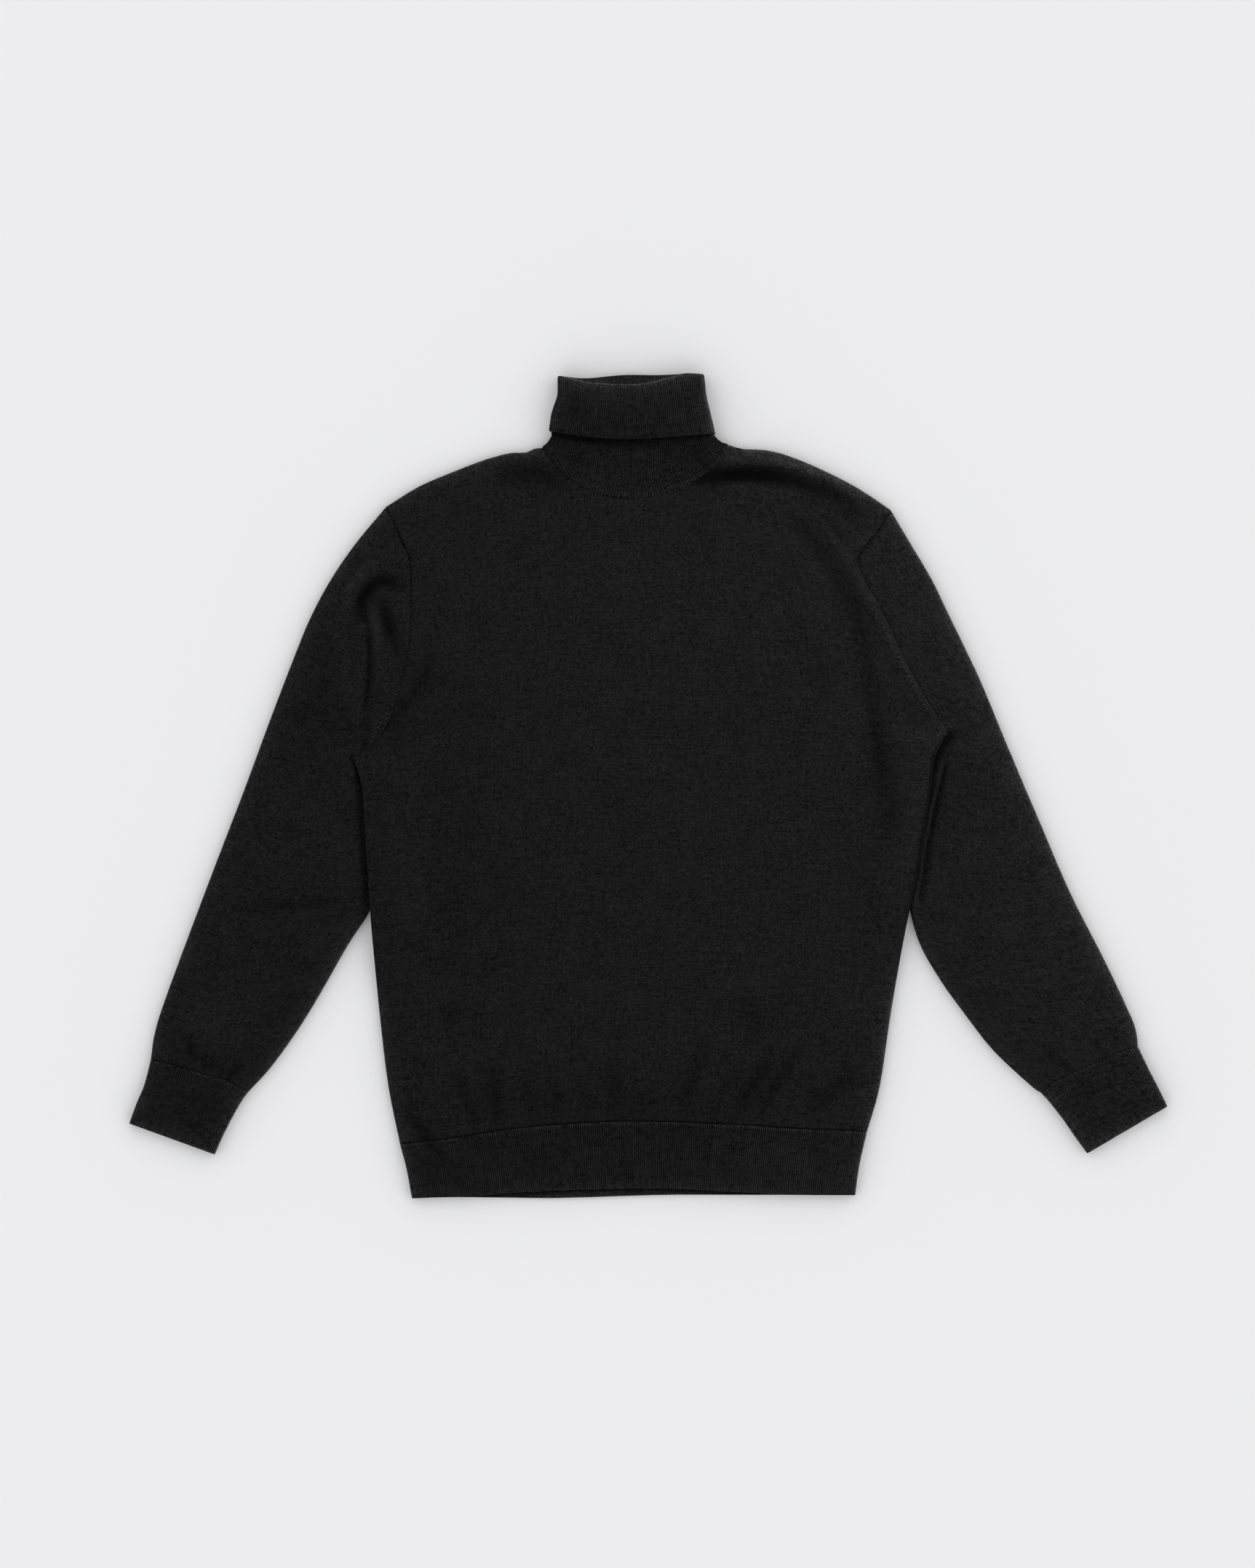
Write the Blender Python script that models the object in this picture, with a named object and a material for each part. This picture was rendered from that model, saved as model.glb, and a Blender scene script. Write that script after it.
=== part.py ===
# Roll-neck sweater in fine knit, laid flat on its back with the collar turned down.
# X runs across the garment, +Y towards the collar, +Z up from the surface that it lies on.
# Lengths below are in millimetres; MM turns them into metres where meshes are made.

import math
from collections import namedtuple

import bmesh
import bpy
import numpy as np

MM = 0.001

# Cloth
JERSEY_WALL = 1.4
RIB_WALL = 1.8
SEAM_GAP = 0.3
EDGE_LOFT = 0.7        # room between the two layers along an outline
FULL_LOFT = 2.1        # the same, well inside a panel
LOFT_REACH = 34.0      # distance over which the loft builds up
MOST_LOFT = 3.8
EDGE_ROUND = 0.5       # how far a free edge's upper corner is rounded down
TUCK_LIFT = 4.5        # how high the body rides over the tucked edge of a sleeve

# Ribs of the 1x1 rib
RIB_HEIGHT = 0.4
HEM_RIBS = 217
CUFF_RIBS = 45
COLLAR_RIBS = 77

# Body outline, bottom to top, as (x, y)
LEFT_SIDE = [(-232, -335), (-243, -280), (-251, -214), (-257, -149), (-260, -111),
             (-264, -47), (-268, 3), (-277, 27)]
RIGHT_SIDE = [(204, -323), (216, -280), (226, -214), (237, -149), (245, -108),
              (254, -59), (262, -9), (267, 28), (280, 50)]
LEFT_ARMHOLE = [(-277, 27), (-254, 42), (-234, 85), (-225, 125), (-222, 169),
                (-222, 208), (-230, 229), (-245, 261)]
RIGHT_ARMHOLE = [(280, 50), (266, 69), (241, 113), (220, 158), (202, 191),
                 (195, 209), (201, 222), (213, 237), (226, 258)]
LEFT_SHOULDER = [(-245, 261), (-215, 279.5), (-184, 293), (-154, 304.5), (-130, 311),
                 (-115, 311.5), (-107, 315), (-99, 316)]
RIGHT_SHOULDER = [(74, 319), (88, 315), (108, 314), (128, 309.5), (159, 297),
                  (190, 281.5), (210, 269), (226, 258)]
FRONT_NECK = [(-99, 316), (-91, 305), (-77, 290), (-60, 278), (-41, 271), (-20, 268.5),
              (3, 270.5), (26, 276), (43, 285.5), (60, 299), (69, 310), (74, 319)]
BACK_NECK = [(-99, 316), (-80, 305), (-50, 299.5), (-12, 298), (26, 300), (54, 307), (74, 319)]
HEM_SEAM = [(-232, -335), (-175, -328), (-115, -319), (-28, -313.5), (64, -315.5),
            (134, -320), (204, -323)]

# Hem band
HEM_LEFT = [(-232, -335), (-226, -358), (-221, -385)]
HEM_RIGHT = [(204, -323), (197, -354), (193, -382)]
FRONT_HEM = [(-221, -385), (-148, -381.5), (-82, -379), (-6, -375), (64, -378), (134, -381.5), (193, -382)]
BACK_HEM = [(-221, -385), (-115, -384.5), (-41, -382.5), (20, -381.5), (100, -381.5), (193, -382)]

# Sleeve outlines, armhole to cuff; the first part of each inner edge lies under the body
LEFT_OUTER = [(-245, 261), (-274, 226), (-296, 194), (-314, 161), (-328, 128), (-353, 63),
              (-377, -2), (-402, -67), (-427, -133), (-451, -198), (-461, -230), (-465, -256)]
LEFT_INNER = [(-277, 27), (-274, 12), (-269, -6), (-258, -32), (-251, -60), (-251, -88),
              (-260, -116), (-281, -149), (-309, -198), (-329, -230), (-353, -263), (-374, -286)]
RIGHT_OUTER = [(226, 258), (245, 226), (264, 194), (280, 161), (296, 128), (311, 96),
               (338, 31), (366, -35), (394, -100), (427, -165), (450, -214), (455.5, -230), (457, -243)]
RIGHT_INNER = [(280, 50), (272, 33), (267.5, 15), (257, -18), (247, -52), (241, -85),
               (244, -115), (254, -149), (273, -182), (296, -214), (322, -247), (356, -279), (367, -287)]

# Cuffs: seam from the outer to the inner edge, both edges down to the opening
LEFT_CUFF_SEAM = [(-465, -256), (-445, -260.5), (-412, -270), (-395, -275), (-374, -286)]
LEFT_CUFF_OUTER = [(-465, -256), (-471, -279), (-478, -296), (-485, -315)]
LEFT_CUFF_INNER = [(-374, -286), (-381, -296), (-390, -312), (-398, -328), (-405, -344)]
RIGHT_CUFF_SEAM = [(457, -243), (429, -253.5), (380, -276), (367, -287)]
RIGHT_CUFF_OUTER = [(457, -243), (466.5, -263), (475, -279.5), (484.5, -299)]
RIGHT_CUFF_INNER = [(367, -287), (375, -296), (387.5, -312), (398.5, -328), (409.5, -343)]

# Collar: fold and hem lines from left to right, as (x, y)
FRONT_FOLD = [(-85, 383), (-67, 379), (-52, 376), (-14, 375), (3, 377), (20, 381), (34, 385), (52, 384.5)]
BACK_FOLD = [(-85, 383), (-60, 381), (-24, 384), (11, 384), (34, 385), (52, 384.5)]
FLAP_HEM = [(-93, 332), (-67, 328), (-44, 325.5), (-20, 324.5), (3, 325.5), (26, 327), (50, 328.5), (62.5, 329)]

# Collar outline at heights between the flap's hem (0) and the fold (1)
Outline = namedtuple("Outline", "height left right")
FLAP_OUTLINE = [
    Outline(0.00, -93, 62.5),
    Outline(0.30, -91, 58.5),
    Outline(0.65, -85, 54.0),
    Outline(1.00, -85, 52.0),
]
STAND_BELOW_FLAP = 5.0     # the stand has risen to its full height this far below the flap's hem
STAND_FOOT = (-90.5, 64.5)     # its left and right edges there
STAND_MIDDLE = (-94.0, 68.0)   # the same, halfway down to the neckline
NECK_CORNER = 0.6              # how far the stand's inner corners lie above the neckline's ends

# Folds: a trough has a negative height. "on" says which layer bends: body, sleeve or both.
# A positive bow carries the middle of the fold to the left of the way from start to end.
Fold = namedtuple("Fold", "on start end bow width height")
FOLDS = [
    # left armhole and sleeve top
    Fold("both", (-232, 178), (-270, 172), -20, 9, -1.7),
    Fold("sleeve", (-269, 182), (-272, 40), 7, 9, -1.8),
    Fold("sleeve", (-250, 214), (-286, 168), -8, 11, 1.2),
    Fold("sleeve", (-285, 165), (-288, 60), 8, 13, 0.9),
    Fold("sleeve", (-260, 176), (-254, 130), 3, 7, 1.0),
    Fold("both", (-255, 178), (-238, 110), 5, 7, -1.3),
    Fold("body", (-202, 132), (-253, 40), -8, 9, -1.3),
    # shoulders
    Fold("body", (50, 284), (206, 254), 22, 13, -1.9),
    Fold("body", (84, 306), (216, 262), 10, 11, 1.3),
    Fold("body", (-152, 286), (-74, 285), -3, 12, -1.2),
    # right front, from the shoulder down to the underarm
    Fold("both", (148, 274), (266, 58), 6, 9, 1.6),
    Fold("body", (138, 270), (191, 220), 3, 8, -1.2),
    Fold("body", (122, 262), (200, 118), 12, 15, -1.4),
    Fold("body", (199, 138), (238, -72), -4, 14, -1.0),
    # left sleeve, across
    Fold("sleeve", (-375, -112), (-262, -115), 0, 8, -0.7),
    # gathers above the hem
    Fold("body", (-230, -296), (-188, -342), 0, 8, -1.0),
    Fold("body", (-174, -276), (-152, -324), 0, 7, -1.0),
    Fold("body", (-142, -238), (-138, -290), 0, 8, -0.9),
    Fold("body", (-95, -250), (-84, -300), 0, 8, -0.6),
    Fold("body", (-36, -258), (-46, -300), 0, 9, -0.8),
    Fold("body", (50, -244), (30, -298), 0, 8, -0.8),
    Fold("body", (112, -250), (76, -312), 0, 8, -1.1),
    Fold("body", (143, -244), (102, -312), 0, 8, -0.7),
    Fold("body", (190, -266), (146, -302), 0, 9, -1.2),
    Fold("body", (-202, -208), (-178, -222), 0, 14, -0.8),
]

# Panel grid: share of the width and of the height at which its lines run
NECK_SHARE = (0.308, 0.676)
UNDERARM_SHARE = 0.62
LEFT_COLUMNS = [0, 0.018, 0.046, 0.080, 0.120, 0.158, 0.196, 0.234, 0.272, 0.290]
RIGHT_COLUMNS = [0.702, 0.728, 0.766, 0.804, 0.842, 0.880, 0.920, 0.954, 0.982, 1.0]
NECK_COLUMNS = 14
SIDE_ROWS = 18
ARMHOLE_ROWS = 12
LIFT_COLUMNS = (0.046, 0.120)   # full lift up to the first, none beyond the second
SLEEVE_COLUMNS = 10
SLEEVE_ROWS = 32
SLEEVE_TOP_SHARE = 0.39    # part of the outer edge that lies above the underarm
CUFF_ROWS = 2
SAME_PLACE = 1e-9          # places closer than this count as level
TURN_IN = 2.2              # distance within which a sleeve's edge turns over, above and below
LOWER_TURN_IN = 1.2
EDGE_CLEAR = 1.3           # columns start this many times the turn-in away from an edge
TIP_INSET = 3.0            # from the sleeve's tip at the shoulder to the tip of its inside


def along(points, shares):
    """Points of a smooth curve through the given ones, at shares of its length."""
    points = np.array(points, dtype=float)
    ends = np.vstack([2 * points[0] - points[1], points, 2 * points[-1] - points[-2]])
    steps = np.linspace(0, 1, 12, endpoint=False)[:, None]
    spans = []
    for before, start, end, after in zip(ends, ends[1:], ends[2:], ends[3:]):
        spans.append(0.5 * (2 * start + (end - before) * steps
                            + (2 * before - 5 * start + 4 * end - after) * steps ** 2
                            + (3 * start - before - 3 * end + after) * steps ** 3))
    fine = np.vstack(spans + [points[-1:]])
    lengths = np.concatenate([[0], np.cumsum(np.linalg.norm(np.diff(fine, axis=0), axis=1))])
    return on_line(fine, lengths / lengths[-1], shares)


def on_line(points, places, shares):
    """Points on the straight stretches of a line whose corners lie at the given places."""
    return np.column_stack([np.interp(shares, places, points[:, axis]) for axis in range(points.shape[1])])


def patch(bottom, top, left, right, across, up):
    """Grid of points between four edges: one row for each share in up, bottom to top."""
    u = np.array(across)[None, :, None]
    v = np.array(up)[:, None, None]
    rows = (1 - v) * bottom[None] + v * top[None] + (1 - u) * left[:, None] + u * right[:, None]
    corners = ((1 - u) * (1 - v) * bottom[0] + u * (1 - v) * bottom[-1]
               + (1 - u) * v * top[0] + u * v * top[-1])
    return rows - corners


def set_back(line, towards):
    """A seam line moved by the seam gap to the side where the given point lies."""
    way = np.gradient(line, axis=0)
    normal = np.column_stack([-way[:, 1], way[:, 0]])
    normal /= np.linalg.norm(normal, axis=1)[:, None]
    middle = len(line) // 2
    if np.dot(normal[middle], np.array(towards) - line[middle]) < 0:
        normal = -normal
    return line + SEAM_GAP * normal


def distance_to(points, line):
    """Distance from each point to a line of straight stretches, and how far along it, 0 to 1."""
    flat = points.reshape(-1, 2)
    best = np.full(len(flat), np.inf)
    place = np.zeros(len(flat))
    for number, (start, end) in enumerate(zip(line, line[1:])):
        way = end - start
        share = np.clip((flat - start) @ way / (way @ way), 0, 1)
        distance = np.linalg.norm(flat - start - share[:, None] * way, axis=1)
        nearer = distance < best
        best[nearer] = distance[nearer]
        place[nearer] = (number + share[nearer]) / (len(line) - 1)
    return best.reshape(points.shape[:-1]), place.reshape(points.shape[:-1])


def relief(points, layer):
    """Height of the folds of a layer over the given points."""
    total = np.zeros(points.shape[:-1])
    for fold in FOLDS:
        if fold.on not in (layer, "both"):
            continue
        start, end = np.array(fold.start, float), np.array(fold.end, float)
        way = (end - start) / np.linalg.norm(end - start)
        shares = np.linspace(0, 1, 9)[:, None]
        line = start + (end - start) * shares
        line = line + 4 * fold.bow * shares * (1 - shares) * np.array([-way[1], way[0]])
        distance, place = distance_to(points, line)
        ends = np.sin(np.pi * np.clip(place, 0, 1)) ** 0.7
        total += fold.height * ends * np.exp(-(distance / fold.width) ** 2)
    return total


def loft(points, outline, layer):
    """Room under the upper cloth: it grows from the outline inwards, and the folds bend it."""
    nearest = np.min([distance_to(points, line)[0] for line in outline], axis=0)
    rise = 1 - np.exp(-nearest / LOFT_REACH)
    open_room = EDGE_LOFT + (FULL_LOFT - EDGE_LOFT) * rise
    return np.clip(open_room + relief(points, layer) * np.clip(nearest / 6, 0, 1), SEAM_GAP, MOST_LOFT)


def raised(points, heights):
    """Points of the plan with their heights."""
    return np.concatenate([points, np.asarray(heights)[..., None]], axis=-1)


def lowest_near(grid):
    """The lowest of each value of a grid and its eight neighbours."""
    padded = np.pad(grid, 1, mode="edge")
    rows, columns = grid.shape
    shifted = [padded[i:i + rows, j:j + columns] for i in range(3) for j in range(3)]
    return np.min(shifted, axis=0)


def rows_kept(count, first_kept, last_kept):
    """Rows of a plain inside: each one beside the armhole, and every second one elsewhere."""
    return [row for row in range(count) if row % 2 == 0 or first_kept <= row <= last_kept]


def add_row(mesh, points):
    return [mesh.verts.new(point * MM) for point in points]


def sew(mesh, first, second, first_places, second_places):
    """Fills the strip between two rows of vertices, whose places rise from row start to row end."""
    i = j = 0
    while i < len(first) - 1 or j < len(second) - 1:
        next_first = first_places[i + 1] if i < len(first) - 1 else math.inf
        next_second = second_places[j + 1] if j < len(second) - 1 else math.inf
        level = abs(next_first - next_second) < SAME_PLACE
        if level and abs(first_places[i] - second_places[j]) < SAME_PLACE:
            mesh.faces.new((first[i], first[i + 1], second[j + 1], second[j]))
            i, j = i + 1, j + 1
        elif first_places[i] < second_places[j] if level else next_first < next_second:
            mesh.faces.new((first[i], first[i + 1], second[j]))
            i += 1
        else:
            mesh.faces.new((first[i], second[j + 1], second[j]))
            j += 1


def closed(row, places, turn):
    """A ring of vertices and its places, with the first vertex again at the end."""
    return row + row[:1], list(places) + [places[0] + turn]


def make_object(name, mesh, material):
    bmesh.ops.recalc_face_normals(mesh, faces=mesh.faces)
    data = bpy.data.meshes.new(name)
    mesh.to_mesh(data)
    mesh.free()
    data.shade_smooth()
    data.set_sharp_from_angle(angle=math.radians(40))
    data.materials.append(material)
    made = bpy.data.objects.new(name, data)
    bpy.context.scene.collection.objects.link(made)
    return made


def make_material(name, colour, roughness):
    material = bpy.data.materials.new(name)
    material.use_nodes = True
    shader = material.node_tree.nodes["Principled BSDF"]
    shader.inputs["Base Color"].default_value = (*colour, 1)
    shader.inputs["Roughness"].default_value = roughness
    shader.inputs["Metallic"].default_value = 0.0
    return material


def make_panel(name, material, upper, upper_places, lower, lower_places):
    """A wall between a grid of upper points and a coarser grid of lower ones, closed by its rim."""
    mesh = bmesh.new()
    tops = [add_row(mesh, row) for row in upper]
    bottoms = [add_row(mesh, row) for row in lower]
    (upper_across, upper_up), (lower_across, lower_up) = upper_places, lower_places
    for near, far in zip(tops, tops[1:]):
        sew(mesh, near, far, upper_across, upper_across)
    for near, far in zip(bottoms, bottoms[1:]):
        sew(mesh, near, far, lower_across, lower_across)
    sew(mesh, tops[0], bottoms[0], upper_across, lower_across)
    sew(mesh, tops[-1], bottoms[-1], upper_across, lower_across)
    for side in (0, -1):
        sew(mesh, [row[side] for row in tops], [row[side] for row in bottoms], upper_up, lower_up)
    return make_object(name, mesh, material)


def inset(edge, inner, distance):
    """A point that lies the given distance from the edge, on the way to the inner one."""
    way = inner - edge
    return edge + way * (distance / np.linalg.norm(way))


def flat_ring(plan, places, upper_z, lower_z, turn_in, lower_turn_in):
    """One closed section of a flattened tube: along the upper layer, then back along the lower one.

    plan is (upper, lower), each a row of points from edge to edge with the same ends. Each edge
    turns over between the layers within the turn_in distances.
    """
    ring, stations = [], []
    for row, shares, heights, reach, offset in (
            (plan[0], places[0], upper_z, turn_in, 0),
            (plan[1][::-1], 1 - places[1][::-1], lower_z[::-1], lower_turn_in, 1)):
        near = reach / np.linalg.norm(row[-1] - row[0])
        inner = (shares > EDGE_CLEAR * near) & (shares < 1 - EDGE_CLEAR * near)
        side = 0 if offset == 0 else -1
        ring.append((*row[0], 0.5 * (upper_z[side] + lower_z[side])))
        ring.append((*inset(row[0], row[1], reach), heights[0]))
        ring += [(*point, z) for point, z in zip(row[inner], heights[inner])]
        ring.append((*inset(row[-1], row[-2], reach), heights[-1]))
        stations += [offset, offset + near, *(offset + shares[inner]), offset + 1 - near]
    return np.array(ring), stations


def grid_shares():
    """Shares across and up at which the body's fine grid runs."""
    neck = np.linspace(*NECK_SHARE, NECK_COLUMNS + 1)
    across = np.concatenate([LEFT_COLUMNS, neck, RIGHT_COLUMNS])
    side = np.concatenate([np.linspace(0, UNDERARM_SHARE - 0.04, SIDE_ROWS - 1),
                           [UNDERARM_SHARE - 0.02, UNDERARM_SHARE]])
    armhole = np.linspace(UNDERARM_SHARE, 1, ARMHOLE_ROWS + 1)[1:]
    return across, np.concatenate([side, armhole])


def body_edges(neck, across, up):
    """Bottom, top, left and right edges of a body panel at its grid's shares."""
    sides = up[up <= UNDERARM_SHARE] / UNDERARM_SHARE
    armholes = (up[up > UNDERARM_SHARE] - UNDERARM_SHARE) / (1 - UNDERARM_SHARE)
    left = np.vstack([along(LEFT_SIDE, sides), along(LEFT_ARMHOLE, armholes)])
    right = np.vstack([along(RIGHT_SIDE, sides), along(RIGHT_ARMHOLE, armholes)])
    first, last = NECK_SHARE
    left_part = across[across < first] / first
    neck_part = (across[(across >= first) & (across <= last)] - first) / (last - first)
    right_part = (across[across > last] - last) / (1 - last)
    top = np.vstack([along(LEFT_SHOULDER, left_part), along(neck, neck_part),
                     along(RIGHT_SHOULDER, right_part)])
    return along(HEM_SEAM, across), top, left, right


def tuck_lift(across, up):
    """Lift of the body's side strips over the sleeves that are tucked under them."""
    edge = np.minimum(across, 1 - across)
    sideways = np.interp(edge, LIFT_COLUMNS, (1, 0))
    rows = up[::2]
    underarm = SIDE_ROWS // 2
    upward = np.interp(up, rows[underarm - 6:underarm + 1], (0, 0.5, 1, 1, 1, 1, 0))
    return TUCK_LIFT * upward[:, None] * sideways[None, :]


def make_body(jersey):
    """Front and back panels; returns the front's grid and heights for the pieces sewn to it."""
    across, up = grid_shares()
    lift = tuck_lift(across, up)

    front = patch(*body_edges(FRONT_NECK, across, up), across, up)
    outline = [along(curve, np.linspace(0, 1, 24)) for curve in
               (LEFT_SIDE, RIGHT_SIDE, LEFT_SHOULDER, RIGHT_SHOULDER, LEFT_OUTER, RIGHT_OUTER)]
    room = loft(front, outline, "body")
    top = 2 * JERSEY_WALL + lift + room
    under = JERSEY_WALL + lift + lowest_near(room)
    round_free_edges(top, up)
    kept = rows_kept(len(up), SIDE_ROWS, len(up))
    make_panel("body_front", jersey, raised(front, top), (across, up),
               raised(front, under)[kept, ::2], (across[::2], up[kept]))

    across, up, lift = across[::2], up[kept], lift[kept, ::2]
    back = patch(*body_edges(BACK_NECK, across, up), across, up)
    make_panel("body_back", jersey, raised(back, lift + JERSEY_WALL), (across, up),
               raised(back, lift), (across, up))
    return front, top


def round_free_edges(top, up):
    """Lowers the side and shoulder edges of the front, whose corners are soft."""
    below = up <= UNDERARM_SHARE
    top[below, 0] -= EDGE_ROUND
    top[below, -1] -= EDGE_ROUND
    top[-1, :len(LEFT_COLUMNS)] -= EDGE_ROUND
    top[-1, -len(RIGHT_COLUMNS):] -= EDGE_ROUND


def rib_wave(count):
    """0 in the furrows and the rib height on the ribs, at both ends of each half rib."""
    return RIB_HEIGHT * (np.arange(2 * count + 1) % 2)


def sew_rings(mesh, first, second, first_places, second_places):
    sew(mesh, first + first[:1], second + second[:1],
        list(first_places) + [2.0], list(second_places) + [2.0])


def section_outside(upper, lower, places, heights, is_open):
    """Outer points of a flattened tube's section and their places, from its inner edge round to it.

    An open section is one beside the armhole: it starts and ends on the seam, not on a fold.
    """
    across, coarse = places
    flat = np.zeros(len(lower))
    if not is_open:
        return flat_ring((upper, lower), places, heights, flat, TURN_IN, LOWER_TURN_IN)
    ring, stations = flat_ring((upper, lower), places, heights, flat, TURN_IN, LOWER_TURN_IN)
    ring[0, 2] = heights[0] + EDGE_ROUND
    ring = np.delete(ring, (1, len(ring) - 1), axis=0)
    stations = [stations[0]] + stations[2:-1]
    return np.vstack([ring, [(*lower[0], 0)]]), stations + [2.0]


def section_inside(line, room, wall, is_open):
    """Inner points of a section: room is the height of the upper layer's underside."""
    far = inset(line[-1], line[-2], wall)
    ring = [(*point, z) for point, z in zip(line[1:-1], room[1:-1])]
    ring.append((*far, 0.5 * (wall + room[-1])))
    ring += [(*point, wall) for point in line[-2:0:-1]]
    if is_open:
        return np.array([(*line[0], room[0]), *ring, (*line[0], wall)])
    return np.array([(*inset(line[0], line[1], wall), 0.5 * (wall + room[0])), *ring])


def make_tube(name, material, edges, wall, columns, outline, ribs=0, cut=0):
    """A flattened tube between its inner and its outer edge, open at both ends.

    edges is (inner, outer, end): rows of points down both edges, and the last row across.
    The first rows, as many as cut, lie beside the armhole, and the very first is their tip.
    """
    inner, outer, start, end = edges
    rows = len(inner)
    fine = np.linspace(0, 1, columns + 1)
    coarse = fine[::2]
    across = np.linspace(0, 1, 2 * ribs + 1) if ribs else fine
    up = np.linspace(0, 1, rows)
    kept = rows_kept(rows, 0, cut if cut else -1)

    def plan(path, shares):
        first = on_line(start, fine, shares) if start is not None else np.repeat(path[:1], len(shares), 0)
        return patch(first, on_line(end, fine, shares), path, outer, shares, up)

    upper, lower, bent = plan(inner, across), plan(inner, coarse), plan(inner, fine)
    heights = 2 * wall + loft(upper, outline, "sleeve") + (rib_wave(ribs) if ribs else 0)
    heights[:, -1] = heights[:, 0].min() - EDGE_ROUND
    heights[:, 0] -= EDGE_ROUND
    room = lowest_near(loft(bent, outline, "sleeve"))[:, ::2] + wall

    mesh = bmesh.new()
    outside, inside = [], []
    for row in range(rows):
        if cut and row == 0:
            middle = wall + 0.5 * EDGE_LOFT
            outside.append((add_row(mesh, np.array([(*inner[0], middle)])), [0.0]))
            tip = inset(inner[0], inner[2], TIP_INSET)
            inside.append((add_row(mesh, np.array([(*tip, middle)])), [0.0]))
            continue
        is_open = row < cut
        ring, places = section_outside(upper[row], lower[row], (across, coarse), heights[row], is_open)
        verts = add_row(mesh, ring)
        outside.append((verts, places) if is_open else closed(verts, places, 2.0))
        if row in kept:
            ring = section_inside(lower[row], room[row], wall, is_open)
            places = list(coarse) + [2 - place for place in coarse[-2:0:-1]]
            verts = add_row(mesh, ring)
            inside.append((verts, places + [2.0]) if is_open else closed(verts, places, 2.0))
    for surface in (outside, inside):
        for (near, near_places), (far, far_places) in zip(surface, surface[1:]):
            sew(mesh, near, far, near_places, far_places)
    if cut:
        numbers = list(range(cut + 1))
        for side in (0, -1):
            sew(mesh, [row[side] for row, _ in outside[:cut + 1]],
                [row[side] for row, _ in inside[:cut + 1]], numbers, numbers)
    else:
        sew(mesh, outside[0][0], inside[0][0], outside[0][1], inside[0][1])
    sew(mesh, outside[-1][0], inside[-1][0], outside[-1][1], inside[-1][1])
    return make_object(name, mesh, material)


def make_sleeve(side, jersey, rib, armhole, outer, inner, seam, cuff_outer, cuff_inner, shoulder):
    """Sleeve and cuff of one side; armhole is the body's edge from the shoulder to the underarm."""
    cut = len(armhole) - 1
    hand = np.array(seam[-1], float)
    wrist = np.array(cuff_inner[-1], float)
    outline = [along(curve, np.linspace(0, 1, 24)) for curve in (outer, inner, shoulder)]
    shares = np.linspace(0, 1, SLEEVE_COLUMNS + 1)
    seam = along(seam[::-1], shares)
    start, end = set_back(armhole, outer[4]), set_back(seam, seam[0] - (wrist - hand))
    tail = along(inner, np.linspace(0, 1, SLEEVE_ROWS - cut + 1))[1:]
    path = np.vstack([start, tail])
    top_shares = np.linspace(0, SLEEVE_TOP_SHARE, cut + 1)
    low_shares = np.linspace(SLEEVE_TOP_SHARE, 1, SLEEVE_ROWS - cut + 1)[1:]
    far = along(outer, np.concatenate([top_shares, low_shares]))
    path[-1], far[0], far[-1] = end[0], path[0], end[-1]
    make_tube(f"sleeve_{side}", jersey, (path, far, None, end), JERSEY_WALL, SLEEVE_COLUMNS, outline, cut=cut)

    rows = np.linspace(0, 1, CUFF_ROWS + 1)
    start = set_back(seam, wrist)
    near, far = along(cuff_inner, rows), along(cuff_outer, rows)
    near[0], far[0] = start[0], start[-1]
    opening = on_line(np.array([cuff_inner[-1], cuff_outer[-1]], float), (0, 1), shares)
    cuff_outline = [along(curve, np.linspace(0, 1, 12)) for curve in (cuff_outer, cuff_inner)]
    make_tube(f"cuff_{side}", rib, (near, far, start, opening), RIB_WALL, SLEEVE_COLUMNS,
              cuff_outline, ribs=CUFF_RIBS)


def make_hems(rib, body, body_top):
    """Rib bands below the front and the back; the back one shows as a strip past the front one."""
    across = grid_shares()[0]
    seam = set_back(body[0], (0, -1000))
    many = np.linspace(0, 1, 2 * HEM_RIBS + 1)
    rows = np.array([0.0, 0.5, 1.0])
    left, right = along(HEM_LEFT, rows), along(HEM_RIGHT, rows)
    left[0], right[0] = seam[0], seam[-1]

    base = RIB_WALL + SEAM_GAP
    fine = patch(seam, along(FRONT_HEM, across), left, right, across, rows)
    upper = patch(on_line(seam, across, many), along(FRONT_HEM, many), left, right, many, rows)
    rise = np.interp(many, across, np.clip(body_top[0] - body_top[0].min(), 0, 1.5))
    top = base + RIB_WALL + rib_wave(HEM_RIBS) + rise * (1 - rows)[:, None] * 0.8
    top[:, 0] -= EDGE_ROUND
    top[:, -1] -= EDGE_ROUND
    lower = fine[:, ::2]
    make_panel("hem_rib_front", rib, raised(upper, top), (many, rows),
               raised(lower[::2], np.full(lower[::2].shape[:2], base)), (across[::2], rows[::2]))

    back = patch(seam[::2], along(BACK_HEM, across[::2]), left, right, across[::2], rows)
    flat = np.zeros(back.shape[:2])
    make_panel("hem_rib_back", rib, raised(back, flat + RIB_WALL), (across[::2], rows),
               raised(back, flat), (across[::2], rows))


def collar_rows(height, edge_in, drop, fold, shares):
    """Row of points across the collar, at a height between the flap's hem and its fold."""
    hem, crest = along(FLAP_HEM, shares), along(fold, shares)
    heights = [station.height for station in FLAP_OUTLINE]
    left = np.interp(height, heights, [station.left for station in FLAP_OUTLINE]) + edge_in
    right = np.interp(height, heights, [station.right for station in FLAP_OUTLINE]) - edge_in
    y = hem[:, 1] + height * (crest[:, 1] - hem[:, 1]) - drop
    return np.column_stack([left + (right - left) * shares, y])


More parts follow.
